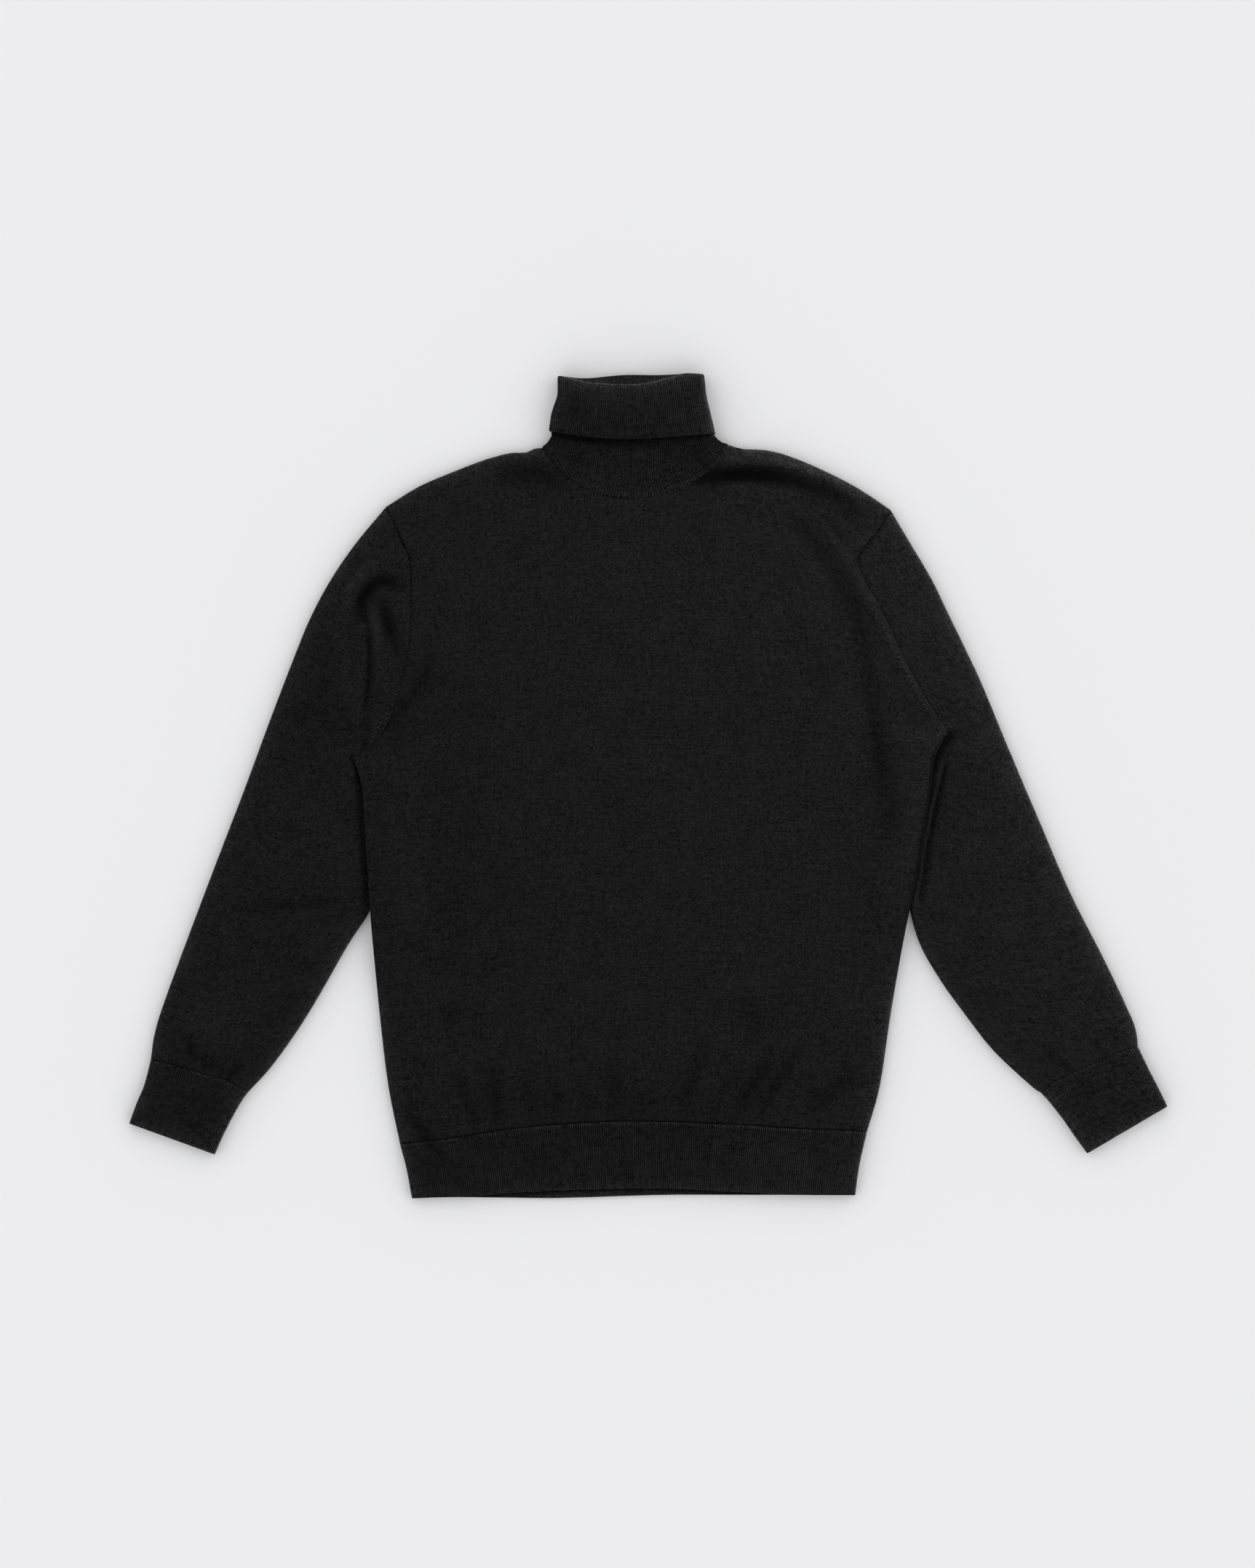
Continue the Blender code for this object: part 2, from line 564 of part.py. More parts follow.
def make_collar(rib, body, body_top):
    """One rib tube: up from the neckline as the stand, over the fold and down as the flap."""
    shell = RIB_WALL + SEAM_GAP
    ribbed = np.linspace(0, 1, 2 * COLLAR_RIBS + 1)
    plain = np.linspace(0, 1, NECK_COLUMNS + 1)
    coarse = plain[::2]
    first_column = len(LEFT_COLUMNS)
    neck = slice(first_column, first_column + NECK_COLUMNS + 1)
    front_seam = set_back(body[-1, neck], (-12, 400))
    back_seam = set_back(along(BACK_NECK, coarse), (-12, 400))
    back_seam[0], back_seam[-1] = front_seam[0], front_seam[-1]
    seam_top = body_top[-1, neck] + RIB_WALL - JERSEY_WALL
    stack_top = 4 * RIB_WALL + 3 * SEAM_GAP
    mesh = bmesh.new()
    rings = []

    def add(front, back, front_z, back_z, shares, turn_in, waves=0):
        heights = np.broadcast_to(front_z, len(shares)) + waves
        ring, places = flat_ring((front, back), (shares, coarse), heights,
                                 np.broadcast_to(back_z, len(coarse)), turn_in, turn_in)
        rings.append((add_row(mesh, ring), places))

    def add_level(height, edge_in, drop, front_z, back_z, shares, turn_in, waves=0):
        add(collar_rows(height, edge_in, drop, FRONT_FOLD, shares),
            collar_rows(height, edge_in, drop, BACK_FOLD, coarse), front_z, back_z, shares, turn_in, waves)

    def foot_rows(edges, share_up, shares, front_line, back_line, places):
        rows = []
        for line, at, kept in ((front_line, places, shares), (back_line, coarse, coarse)):
            low = on_line(line, at, kept)
            high = collar_rows(0, 0, STAND_BELOW_FLAP, FRONT_FOLD, kept)
            y = low[:, 1] + share_up * (high[:, 1] - low[:, 1])
            x = edges[0] + (edges[1] - edges[0]) * kept
            x = low[:, 0] + share_up * (x - low[:, 0]) if share_up < 1 else x
            rows.append(np.column_stack([x, y]))
        return rows

    waves = rib_wave(COLLAR_RIBS)
    fold_radius = 0.5 * (2 * RIB_WALL + SEAM_GAP)
    heights = [station.height for station in FLAP_OUTLINE]
    stand_top = stack_top - shell
    seam_z = on_line(seam_top[:, None], plain, ribbed)[:, 0]

    # outside of the stand, ribbed up to the foot and plain under the flap
    add(on_line(front_seam, plain, ribbed), back_seam, seam_z, 0, ribbed, 2.0, waves)
    for edges, share_up in ((STAND_MIDDLE, 0.5), (STAND_FOOT, 1.0)):
        front, back = foot_rows(edges, share_up, ribbed, front_seam, back_seam, plain)
        add(front, back, seam_z + share_up * (stand_top - seam_z), share_up * shell, ribbed, 2.4, waves)
    for height in heights:
        drop = fold_radius if height == 1 else 0
        add_level(height, shell, drop, stand_top, shell, plain, 1.8)
    # inside and outside of the flap, from the fold down and up again
    for height in reversed(heights):
        drop = fold_radius if height == 1 else 0
        add_level(height, RIB_WALL, drop, stand_top + SEAM_GAP, RIB_WALL, plain, 2.0)
    for height in heights:
        drop = fold_radius if height == 1 else 0
        add_level(height, 0, drop, stack_top, 0, ribbed, 3.0, waves)
    # over the fold
    for angle in (45, 90, 135):
        turn = math.radians(angle)
        rise = fold_radius * math.cos(turn)
        inwards = fold_radius - rise
        add_level(1, inwards, fold_radius * (1 - math.sin(turn)), stack_top - inwards, inwards,
                  plain, 3.0 - 1.2 * inwards / fold_radius)
    # inside of the stand, down to the neckline
    for height in reversed(heights):
        drop = fold_radius if height == 1 else 0
        add_level(height, shell + RIB_WALL, drop, stand_top - RIB_WALL, shell + RIB_WALL, plain, 0.6)
    for edges, share_up in ((STAND_FOOT, 1.0), (STAND_MIDDLE, 0.5)):
        narrowed = (edges[0] + RIB_WALL, edges[1] - RIB_WALL)
        front, back = foot_rows(narrowed, share_up, plain, front_seam, back_seam, plain)
        inner_z = seam_top + share_up * (stand_top - seam_top) - RIB_WALL
        add(front, back, inner_z, share_up * shell + RIB_WALL, plain, 0.6)
    narrow = on_line(front_seam[::2], coarse, plain)
    narrow[0] += (RIB_WALL, NECK_CORNER)
    narrow[-1] += (-RIB_WALL, NECK_CORNER)
    back = back_seam.copy()
    back[0], back[-1] = narrow[0], narrow[-1]
    add(narrow, back, np.interp(plain, coarse, seam_top[::2]) - RIB_WALL, RIB_WALL, plain, 0.6)

    for (near, near_places), (far, far_places) in zip(rings, rings[1:] + rings[:1]):
        sew_rings(mesh, near, far, near_places, far_places)
    return make_object("collar", mesh, rib)


def centre_on_footprint():
    """Moves everything so that the middle of its footprint is the origin."""
    made = [each for each in bpy.context.scene.objects if each.type == "MESH"]
    corners = np.array([vertex.co for each in made for vertex in each.data.vertices])
    middle = 0.5 * (corners.min(axis=0) + corners.max(axis=0))
    for each in made:
        each.location = (-middle[0], -middle[1], 0)


def main():
    for old in list(bpy.data.objects):
        bpy.data.objects.remove(old, do_unlink=True)
    jersey = make_material("Black jersey", (0.0123, 0.0123, 0.0123), 0.9)
    rib = make_material("Black rib", (0.0125, 0.0125, 0.0125), 0.9)
    body, body_top = make_body(jersey)
    make_hems(rib, body, body_top)
    armhole = slice(-ARMHOLE_ROWS - 1, None)
    make_sleeve("left", jersey, rib, body[armhole, 0][::-1], LEFT_OUTER, LEFT_INNER,
                LEFT_CUFF_SEAM, LEFT_CUFF_OUTER, LEFT_CUFF_INNER, LEFT_SHOULDER)
    make_sleeve("right", jersey, rib, body[armhole, -1][::-1], RIGHT_OUTER, RIGHT_INNER,
                RIGHT_CUFF_SEAM, RIGHT_CUFF_OUTER, RIGHT_CUFF_INNER, RIGHT_SHOULDER)
    make_collar(rib, body, body_top)
    centre_on_footprint()


main()
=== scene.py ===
# A black roll-neck sweater in fine knit, laid flat with its collar turned down.
# Plans are in millimetres, x across and y towards the collar; meshes are made in metres.

import math

import bpy
import numpy as np
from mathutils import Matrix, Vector
from numpy.linalg import norm


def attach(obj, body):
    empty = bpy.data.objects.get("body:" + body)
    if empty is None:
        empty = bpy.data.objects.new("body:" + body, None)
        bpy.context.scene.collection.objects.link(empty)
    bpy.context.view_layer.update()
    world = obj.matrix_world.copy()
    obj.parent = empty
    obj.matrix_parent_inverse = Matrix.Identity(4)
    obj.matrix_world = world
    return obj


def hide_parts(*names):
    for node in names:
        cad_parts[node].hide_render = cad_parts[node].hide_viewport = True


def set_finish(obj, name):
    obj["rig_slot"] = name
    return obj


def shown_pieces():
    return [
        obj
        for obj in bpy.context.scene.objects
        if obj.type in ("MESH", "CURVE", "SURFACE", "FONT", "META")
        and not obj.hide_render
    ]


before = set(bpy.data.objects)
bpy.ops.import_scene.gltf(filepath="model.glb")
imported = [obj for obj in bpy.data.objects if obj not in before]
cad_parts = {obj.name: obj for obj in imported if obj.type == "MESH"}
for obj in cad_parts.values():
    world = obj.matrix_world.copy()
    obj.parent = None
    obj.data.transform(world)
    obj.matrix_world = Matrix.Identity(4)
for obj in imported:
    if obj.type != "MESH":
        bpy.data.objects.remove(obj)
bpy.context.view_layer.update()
print("sweater: frame loaded")

mm = 0.001
footprintShift = (0.25, 0.0)    # from the plan's zero to the middle of the footprint
edgeSteps = (0.35, 0.8, 1.4, 2.2, 3.2, 4.6, 6.4)    # lines that follow an edge closely
seamSteps = (1.2,)    # the same beside a seam inside a panel
underarmSteps = (0.8, 2.2)
tiny = 1e-9

cloth = {
    "jerseyWall": 1.2,
    "ribWall": 1.5,
    "stitch": (1.55, 1.15),    # width of a wale and depth of a course in the jersey
    "seamGap": -0.3,       # the pieces overlap a little where they are linked
    "edgeRoom": 0.9,       # room between the two layers along an outline
    "fullRoom": 4.3,       # the same, well inside a panel
    "leastRoom": 0.9,      # the same, where a fold presses the layers together
    "roomReach": 22.0,
    "calmReach": 8.0,      # folds die away this close to an outline
    "waves": ((0.30, 70), (0.12, 24)),    # height and length of the cloth's own unevenness
    "foldScale": 1.25,
    "foldEnds": 0.85,      # a fold rises faster from its ends where this is smaller
    "edgeMiddle": 1.6,     # height at which the two layers meet along an outline
    "edgeRadius": 3.6,
    "seamWidth": 1.5,
    "paintedrim": ((1.3, 5.5), (1.5, 1.1), (2.0, 0.4)),    # strength and reach of a painted rim highlight along an edge
    # limits of the painted shading: dark in troughs and shadows, pale on painted highlights
    "paintedShadingRange": (-11, 4),
    "weldReach": 0.01,
    "tuckLift": 5.0,       # how high the body rides over the tucked edge of a sleeve
}

ribs = {"hem": 217, "cuff": 45, "collar": 77, "samples": (0.0, 0.1, 0.27, 0.5, 0.73, 0.9),
        "height": 0.48, "roundness": 0.65, "reach": 2.0,
        "shell": 1.1,    # thickness of the cloth between its ridges
        "edgeRadius": 3.0, "lowerRadius": 1.8, "lowerEdgeRound": 1.2,
        # chain stitch that links a band to its panel
        "chainLow": 0.25, "chainPlace": 1.2}

# Outlines, as (x, y)
leftSide = [(-232, -335), (-243, -280), (-251, -214), (-257, -149), (-260, -111),
            (-264, -47), (-268, 3), (-277, 27)]
rightSide = [(204, -323), (216, -280), (226, -214), (237, -149), (245, -108),
             (254, -59), (262, -9), (267, 28), (280, 50)]
leftArmhole = [(-277, 27), (-254, 42), (-234, 85), (-225, 125), (-222, 169),
               (-222, 208), (-230, 229), (-245, 261)]
rightArmhole = [(280, 50), (266, 69), (241, 113), (220, 158), (202, 191),
                (195, 209), (201, 222), (213, 237), (226, 258)]
leftShoulder = [(-245, 261), (-215, 279.5), (-184, 293), (-154, 304.5), (-130, 311),
                (-115, 311.5), (-107, 315), (-99, 316)]
rightShoulder = [(74, 319), (88, 315), (108, 314), (128, 309.5), (159, 297),
                 (190, 281.5), (210, 269), (226, 258)]
frontNeck = [(-99, 316), (-91, 305), (-77, 290), (-60, 278), (-41, 271), (-20, 268.5),
             (3, 270.5), (26, 276), (43, 285.5), (60, 299), (69, 310), (74, 319)]
backNeck = [(-99, 316), (-80, 305), (-50, 299.5), (-12, 298), (26, 300), (54, 307), (74, 319)]
hemSeam = [(-232, -335), (-175, -328), (-115, -319), (-28, -313.5), (64, -315.5),
           (134, -320), (204, -323)]
hemLeft = [(-232, -335), (-226, -358), (-221, -385)]
hemRight = [(204, -323), (197, -354), (193, -382)]
frontHem = [(-221, -385), (-160, -382.5), (-130, -380), (-96, -378.1), (-62, -376.7), (-6, -375.6),
            (30, -376.2), (64, -378), (134, -381.5), (193, -382)]
backHem = [(-221, -385), (-181, -384.2), (-130, -384.6), (-96, -385), (-62, -384.4), (-28, -383.2),
           (23, -381.9), (100, -382), (193, -382)]
leftOuter = [(-245, 261), (-274, 226), (-296, 194), (-314, 161), (-328, 128), (-353, 63),
             (-377, -2), (-402, -67), (-427, -133), (-451, -198), (-461, -230), (-465, -256)]
leftInner = [(-277, 27), (-267, 13), (-259, -4), (-254, -32), (-251, -60), (-251, -88),
             (-260, -116), (-281, -149), (-309, -198), (-329, -230), (-353, -263), (-374, -286)]
rightOuter = [(226, 258), (245, 226), (264, 194), (280, 161), (296, 128), (311, 96),
              (338, 31), (366, -35), (394, -100), (427, -165), (450, -214), (455.5, -230), (457, -243)]
rightInner = [(280, 50), (266, 36), (259, 18), (252, -16), (247, -52), (241, -85),
              (244, -115), (254, -149), (273, -182), (296, -214), (322, -247), (356, -279), (367, -287)]
leftCuff = {"seam": [(-465, -256), (-445, -260.5), (-412, -270), (-395, -275), (-374, -286)],
            "outer": [(-465, -256), (-471, -279), (-478, -296), (-485, -315)],
            "inner": [(-374, -286), (-381, -296), (-390, -312), (-398, -328), (-405, -344)]}
rightCuff = {"seam": [(457, -243), (429, -253.5), (380, -276), (367, -287)],
             "outer": [(457, -243), (466.5, -263), (475, -279.5), (484.5, -299)],
             "inner": [(367, -287), (375, -296), (387.5, -312), (398.5, -328), (409.5, -343)]}

# Folds: the line they follow, half width, height (a trough is negative)
armholeFolds = [    # on both layers, at the left armhole: a hooked trough, and a second one inside it
    ([(-227, 180), (-235, 186), (-246, 191), (-258, 188), (-267.5, 177), (-269.5, 165),
      (-263, 150)], 6.2, -3.1),
    ([(-240, 189.5), (-257, 187.5), (-267.5, 175), (-269, 164)], 4.2, -1.5),
    ([(-253, 178), (-244.5, 150), (-235, 120)], 7.0, -2.5),
]
bodyFolds = [
    # below the left armhole
    ([(-199, 130), (-215, 95), (-234, 68), (-254, 41)], 5.8, -1.2),
    # shoulders
    ([(24, 274), (44, 285), (65, 289.5), (98, 291), (126, 287.5), (152, 279), (179, 267),
      (206, 247)], 7.5, -3.6),
    ([(34, 283), (52, 288), (80, 291), (108, 289.5), (134, 282)], 6.0, -5.2),
    ([(50, 303), (86, 304.5), (122, 302), (170, 285), (208, 262)], 6.5, 1.3),
    ([(-150, 290), (-111, 291), (-86, 287), (-70, 284)], 10.5, -2.3),
    # right front, from the shoulder down to the underarm
    ([(148, 262), (169, 238), (186, 208), (205, 173), (226, 131), (246, 93), (266, 56)], 4.6, 0.95),
    ([(120, 263), (136, 246), (152, 227), (170, 203), (184, 178), (194, 150), (199, 118)], 9.0, -1.25),
    ([(192, 168), (199, 130), (203, 100), (210, 55), (216, 12), (222, -30), (230, -75)], 8.0, -1.55),
    ([(156, 259), (172, 240), (183, 222)], 3.2, -1.2),
    ([(134, 270), (160, 262), (186, 250), (206, 236)], 5.0, -0.9),
    # gathers above the hem
    ([(-233, -297), (-210, -327), (-184, -356)], 6.0, -1.7),
    ([(-180, -262), (-171, -294), (-158, -324)], 6.5, -1.3),
    ([(-152, -252), (-145, -288), (-140, -322)], 7.5, -1.4),
    ([(-122, -258), (-115, -284), (-113, -318)], 8.0, -0.8),
    ([(-97, -254), (-88, -284), (-86, -316)], 6.5, -0.8),
    ([(-62, -280), (-60, -296), (-56, -314)], 7.0, -0.7),
    ([(-38, -246), (-34, -278), (-35, -313)], 8.5, -1.1),
    ([(-6, -284), (-10, -298), (-12, -313)], 8.0, -0.7),
    ([(56, -232), (42, -268), (26, -312)], 7.5, -1.2),
    ([(84, -262), (66, -290), (56, -314)], 5.5, -0.7),
    ([(118, -238), (98, -278), (72, -318)], 8.0, -1.6),
    ([(149, -230), (122, -274), (98, -318)], 6.5, -1.3),
    ([(196, -258), (172, -284), (140, -310)], 10.0, -1.5),
    ([(-200, -206), (-186, -213), (-172, -222)], 12.0, -0.9),
    ([(84, -188), (93, -214), (100, -240)], 12.0, -0.6),
    ([(-190, -302), (-60, -300), (60, -304), (160, -312)], 22.0, -0.5),
    # broad hollows and swells
    ([(50, -350), (120, -352), (200, -345)], 26.0, 1.1),
    ([(-205, 110), (-190, -50), (-180, -210)], 42.0, -0.35),
]
sleeveFolds = [
    # crests and hollows beside the left armhole
    ([(-268, 164), (-262, 150), (-261, 116), (-264, 79), (-268, 40)], 3.0, -1.9),
    ([(-289, 150), (-284, 171), (-275, 190), (-258, 207), (-236, 213)], 5.0, 1.4),
    ([(-258.5, 176), (-256, 150), (-254.5, 118)], 4.5, 1.3),
    ([(-292, 160), (-286, 110), (-284, 60)], 12.0, 1.0),
    # right sleeve, beside the body's edge: a narrow furrow that leaves a rolled ridge
    ([(282, 40), (278.5, 26), (273, 2), (266.5, -26), (262, -50), (257, -84), (253, -105),
      (251, -126)], 1.8, -3.2),
    # left sleeve, across
    ([(-392, -113), (-340, -113), (-276, -106)], 5.0, -1.0),
    # broad hollows and swells
    ([(-286, 170), (-300, 85), (-316, 0)], 26.0, -0.85),
    ([(-440, -205), (-408, -218), (-372, -222)], 24.0, 0.8),
    # gathers above the cuffs
    ([(-430, -231), (-428, -244), (-425, -259)], 4.0, -1.5),
    ([(-418, -249), (-416, -258), (-414, -268)], 2.6, -1.4),
    ([(-409, -248), (-407.5, -258), (-406, -270)], 2.5, -1.4),
    ([(-400, -255), (-399, -263), (-398, -273)], 2.5, -1.2),
    ([(-381, -257), (-388, -266), (-396, -278)], 3.0, -1.6),
    ([(366, -238), (374, -252), (384, -268)], 4.0, -0.9),
    ([(380, -254), (389, -262), (398, -268)], 3.0, -1.3),
    ([(414, -234), (419, -245), (423, -257)], 3.2, -1.1),
    ([(432, -226), (434, -238), (438, -250)], 3.2, -0.7),
]
folds = {"body": armholeFolds + bodyFolds, "sleeve": armholeFolds + sleeveFolds}


def along(points, shares):
    # a smooth curve through the given points, at shares of its length
    points = np.array(points, dtype=float)
    ends = np.vstack([2 * points[0] - points[1], points, 2 * points[-1] - points[-2]])
    steps = np.linspace(0, 1, 16, endpoint=False)[:, None]
    spans = []
    for before, start, end, after in zip(ends, ends[1:], ends[2:], ends[3:]):
        spans.append(0.5 * (2 * start + (end - before) * steps
                            + (2 * before - 5 * start + 4 * end - after) * steps ** 2
                            + (3 * start - before - 3 * end + after) * steps ** 3))
    fine = np.vstack(spans + [points[-1:]])
    lengths = np.hstack([[0], np.cumsum(norm(np.diff(fine, axis=0), axis=1))])
    return onLine(fine, lengths / lengths[-1], shares)


def onLine(points, places, shares):
    return np.column_stack([np.interp(shares, places, points[:, axis]) for axis in range(points.shape[1])])


def lengthOf(points):
    line = along(points, np.linspace(0, 1, 40))
    return norm(np.diff(line, axis=0), axis=1).sum()


def patch(bottom, top, left, right, across, up):
    # a grid between four edges: one row for each share in up
    u = np.array(across)[None, :, None]
    v = np.array(up)[:, None, None]
    rows = (1 - v) * bottom[None] + v * top[None] + (1 - u) * left[:, None] + u * right[:, None]
    corners = ((1 - u) * (1 - v) * bottom[0] + u * (1 - v) * bottom[-1]
               + (1 - u) * v * top[0] + u * v * top[-1])
    return rows - corners


def stations(length, pitch, first=edgeSteps, last=edgeSteps):
    # shares of a length that lie closely together at its ends
    low = [0.0, *first]
    high = [length - step for step in reversed(last)] + [length]
    count = max(2, round((high[0] - low[-1]) / pitch))
    middle = np.linspace(low[-1], high[0], count + 1)[1:-1]
    return np.hstack([low, middle, high]) / length


def setBack(line, towards):
    # a seam line moved by the seam gap to the side where the given point lies
    way = np.gradient(line, axis=0)
    normal = np.column_stack([-way[:, 1], way[:, 0]])
    normal /= norm(normal, axis=1)[:, None] + 1e-12
    middle = len(line) // 2
    if np.dot(normal[middle], np.array(towards) - line[middle]) < 0:
        normal = -normal
    return line + cloth["seamGap"] * normal


def distanceTo(points, line):
    # distance from each point to a line, and how far along it, 0 to 1
    flat = points.reshape(-1, 2)
    best = np.full(len(flat), np.inf)
    place = np.zeros(len(flat))
    for number, (start, end) in enumerate(zip(line, line[1:])):
        way = end - start
        share = np.clip((flat - start) @ way / (way @ way), 0, 1)
        distance = norm(flat - start - share[:, None] * way, axis=1)
        nearer = distance < best
        best[nearer] = distance[nearer]
        place[nearer] = (number + share[nearer]) / (len(line) - 1)
    return best.reshape(points.shape[:-1]), place.reshape(points.shape[:-1])


def nearest(points, curves):
    lines = [along(curve, np.linspace(0, 1, 48)) for curve in curves]
    return np.min([distanceTo(points, line)[0] for line in lines], axis=0)


def ripple(points, size, seed):
    # soft unevenness between -1 and 1; size is its wavelength
    random, count = np.random.default_rng(seed), 9
    total = np.zeros(points.shape[:-1])
    for _ in range(count):
        turn = random.uniform(0, 2 * math.pi)
        wave = 2 * math.pi / (size * random.uniform(0.65, 1.6))
        total += np.sin(wave * (points[..., 0] * math.cos(turn) + points[..., 1] * math.sin(turn))
                        + random.uniform(0, 2 * math.pi))
    return total / (0.5 * count)


def relief(points, layer):
    total = np.zeros(points.shape[:-1])
    for line, width, height in folds[layer]:
        distance, place = distanceTo(points, along(line, np.linspace(0, 1, 28)))
        ends = np.sin(np.pi * np.clip(place, 0, 1)) ** cloth["foldEnds"]
        total += height * ends * bell(distance, width)
    return total * cloth["foldScale"]


def arch(distance, radius):
    # 0 on an edge, rising like a quarter circle to 1 at the radius
    return np.sqrt(1 - (1 - np.clip(distance / radius, 0, 1)) ** 2)


def edgeFall(height, distance, radius):
    # lowers the upper layer to where it meets the other one along an outline
    return cloth["edgeMiddle"] + (height - cloth["edgeMiddle"]) * arch(distance, radius)


def edgeRise(distance, radius):
    # raises the lower layer to meet it
    return cloth["edgeMiddle"] * (1 - arch(distance, radius))


def bell(distance, width):
    # 1 on a line, falling to nothing on both sides
    return np.exp(-(distance / width) ** 2)


def furrows(points, seams):
    # a shallow groove along each seam
    return sum(-depth * bell(nearest(points, (line,)), cloth["seamWidth"]) for line, depth in seams)


def room(points, outline, layer, seed):
    reach = nearest(points, outline)
    rise = 1 - np.exp(-reach / cloth["roomReach"])
    free = cloth["edgeRoom"] + (cloth["fullRoom"] - cloth["edgeRoom"]) * rise
    (broad, broadLength), (small, smallLength) = cloth["waves"]
    bend = relief(points, layer) + broad * ripple(points, broadLength, seed)
    bend = bend + small * ripple(points, smallLength, seed + 1)
    high = free + bend * np.clip(reach / cloth["calmReach"], 0, 1)
    least = cloth["leastRoom"]
    # never through the lower layer
    return np.where(high < least, least * np.exp((high - least) / least), high)


def ribRidge(phase):
    return ribs["height"] * np.abs(np.sin(np.pi * phase)) ** ribs["roundness"]


def ribShares(count):
    # shares across a band, with several lines to each rib, and the rib number at each of them
    numbers = (np.arange(count)[:, None] + np.array(ribs["samples"])).ravel()
    numbers = np.append(numbers, count)
    return numbers / count, numbers


def linkChain(numbers, fromSeam):
    # 1 on the beads of the chain stitch that links a band to the panel, one bead to each rib
    low = ribs["chainLow"]
    beads = low + (1 - low) * np.sin(np.pi * numbers[None, :]) ** 2
    return beads * bell(fromSeam - ribs["chainPlace"], 1.0)


def ribPlaces(plan, numbers, course):
    # rib numbers across a band and course numbers up it
    courses = stitchPlaces(plan, 1, course)[..., 1]
    return np.dstack([np.broadcast_to(numbers, courses.shape), courses])


def fromSides(shares, width):
    # distance from the nearer side of a band
    return np.minimum(shares, 1 - shares)[None, :] * width[:, None]


def ribTop(look, plan, fromSeam, fromEdge, seamTop, chain):
    # the upper layer of a band: level with its panel at the seam, rounded off at the open edge
    wave, waveLength, seed = look["ripple"]
    band = 2 * cloth["ribWall"] + look["room"] + wave * ripple(plan, waveLength, seed)
    top = band + (seamTop - band) * np.exp(-fromSeam / look["seamReach"])
    return top + look["chainRise"] * chain - look["edgeDrop"] * (1 - arch(fromEdge, look["edgeRound"]))


def aroundBack(upper, lower):
    # the columns of a tube's upper half, then those of its lower half back to the start
    return np.hstack([upper, lower[:, -2::-1]])


def tube(plan, upper, lower):
    return aroundBack(np.dstack([plan, upper]), np.dstack([plan, lower]))


def tubePlaces(places):
    # the stitch numbers go on counting across the lower half
    mirrored = places.copy()
    mirrored[..., 0] = 2 * places[:, -1:, 0] - places[..., 0]
    return aroundBack(places, mirrored)


def putIn(name, data):
    made = bpy.data.objects.new(name, data)
    bpy.context.scene.collection.objects.link(made)
    return made


def makeMesh(name, points, faces, places):
    # an object through points in the plan's millimetres; places are their stitch numbers
    mesh = bpy.data.meshes.new(name)
    mesh.from_pydata((np.reshape(points, (-1, 3)) + (*footprintShift, 0)) * mm, [], faces)
    corners = np.empty(len(mesh.loops), dtype=np.int32)
    mesh.loops.foreach_get("vertex_index", corners)
    layer = mesh.uv_layers.new(name="stitches")
    layer.data.foreach_set("uv", np.reshape(places, (-1, 2))[corners].astype(np.float32).ravel())
    mesh.shade_smooth()
    return putIn(name, mesh)


def paint(made, name, values):
    mask = made.data.attributes.new(name, "FLOAT", "POINT")
    mask.data.foreach_set("value", np.ravel(values).astype(np.float32))


def ride(made, slotName):
    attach(made, "root")
    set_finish(made, slotName)
    return made


def makeCloth(name, grid, stitches, paintedrim, paintedshading, wall, slotName, faces=1, weld=False):
    # a sheet of cloth through a grid of points (rows, columns, 3), given its thickness inwards;
    # faces is 1 where the first half of its columns looks up, and -1 where it looks down;
    # the distance of each point from a free edge sets a painted rim highlight that lightens the colour there;
    # the fold heights, with painted shadows and highlights beside seams and overlaps, set painted shading,
    # darkest in the troughs
    rows, columns = grid.shape[:2]
    number = np.arange(rows * columns).reshape(rows, columns)
    corners = np.dstack([number[:-1, :-1], number[:-1, 1:], number[1:, 1:], number[1:, :-1]]).reshape(-1, 4)
    half = grid[:, :columns // 2, :2]
    across, up = half[1:-1, 1:] - half[1:-1, :-1], half[1:, :-1] - half[:-1, :-1]
    turn = (across[:, :, 0] * up[1:, :, 1] - across[:, :, 1] * up[1:, :, 0]).sum()
    if turn * faces < 0:
        corners = corners[:, ::-1]
    made = makeMesh(name, grid, corners.tolist(), stitches)
    paint(made, "paintedrim", sum(strength * np.exp(-paintedrim / reach) for strength, reach in cloth["paintedrim"]))
    paint(made, "paintedshading", np.clip(np.broadcast_to(paintedshading, grid.shape[:2]), *cloth["paintedShadingRange"]))
    if weld:
        joined = made.modifiers.new("join edges", "WELD")
        joined.merge_threshold = cloth["weldReach"] * mm
    if wall:
        body = made.modifiers.new("cloth thickness", "SOLIDIFY")
        body.thickness = wall * mm
        body.offset = -1
    return ride(made, slotName)


def stitchPlaces(plan, wale, course):
    # wale and course numbers over a grid, counted along its middle row and column
    width = norm(np.diff(plan, axis=1), axis=2)
    across = np.hstack([np.zeros((len(plan), 1)), np.cumsum(width, axis=1)])
    across -= across[:, [plan.shape[1] // 2]]
    length = norm(np.diff(plan, axis=0), axis=2)
    up = np.vstack([np.zeros((1, plan.shape[1])), np.cumsum(length, axis=0)])
    return np.stack([across / wale, up / course], axis=-1)


# Raised loops where stitches were moved to shape the armholes, carrying a painted highlight
marks = {"left": {"lines": [[(-228, 210), (-228.5, 190), (-229, 158)], [(-233, 90), (-246, 67), (-262, 37)]],
                  "length": 3.6, "turns": (35, -20), "pale": 2.2},
         "right": {"lines": [[(217, 152), (235, 114), (250, 87), (261, 67)]],
                   "length": 6.0, "turns": (34, 20), "pale": 2.5},
         "pitch": 4.6, "width": 0.5, "endShare": 0.25, "rise": 0.4, "sink": 0.1, "sides": 6, "rings": 5}


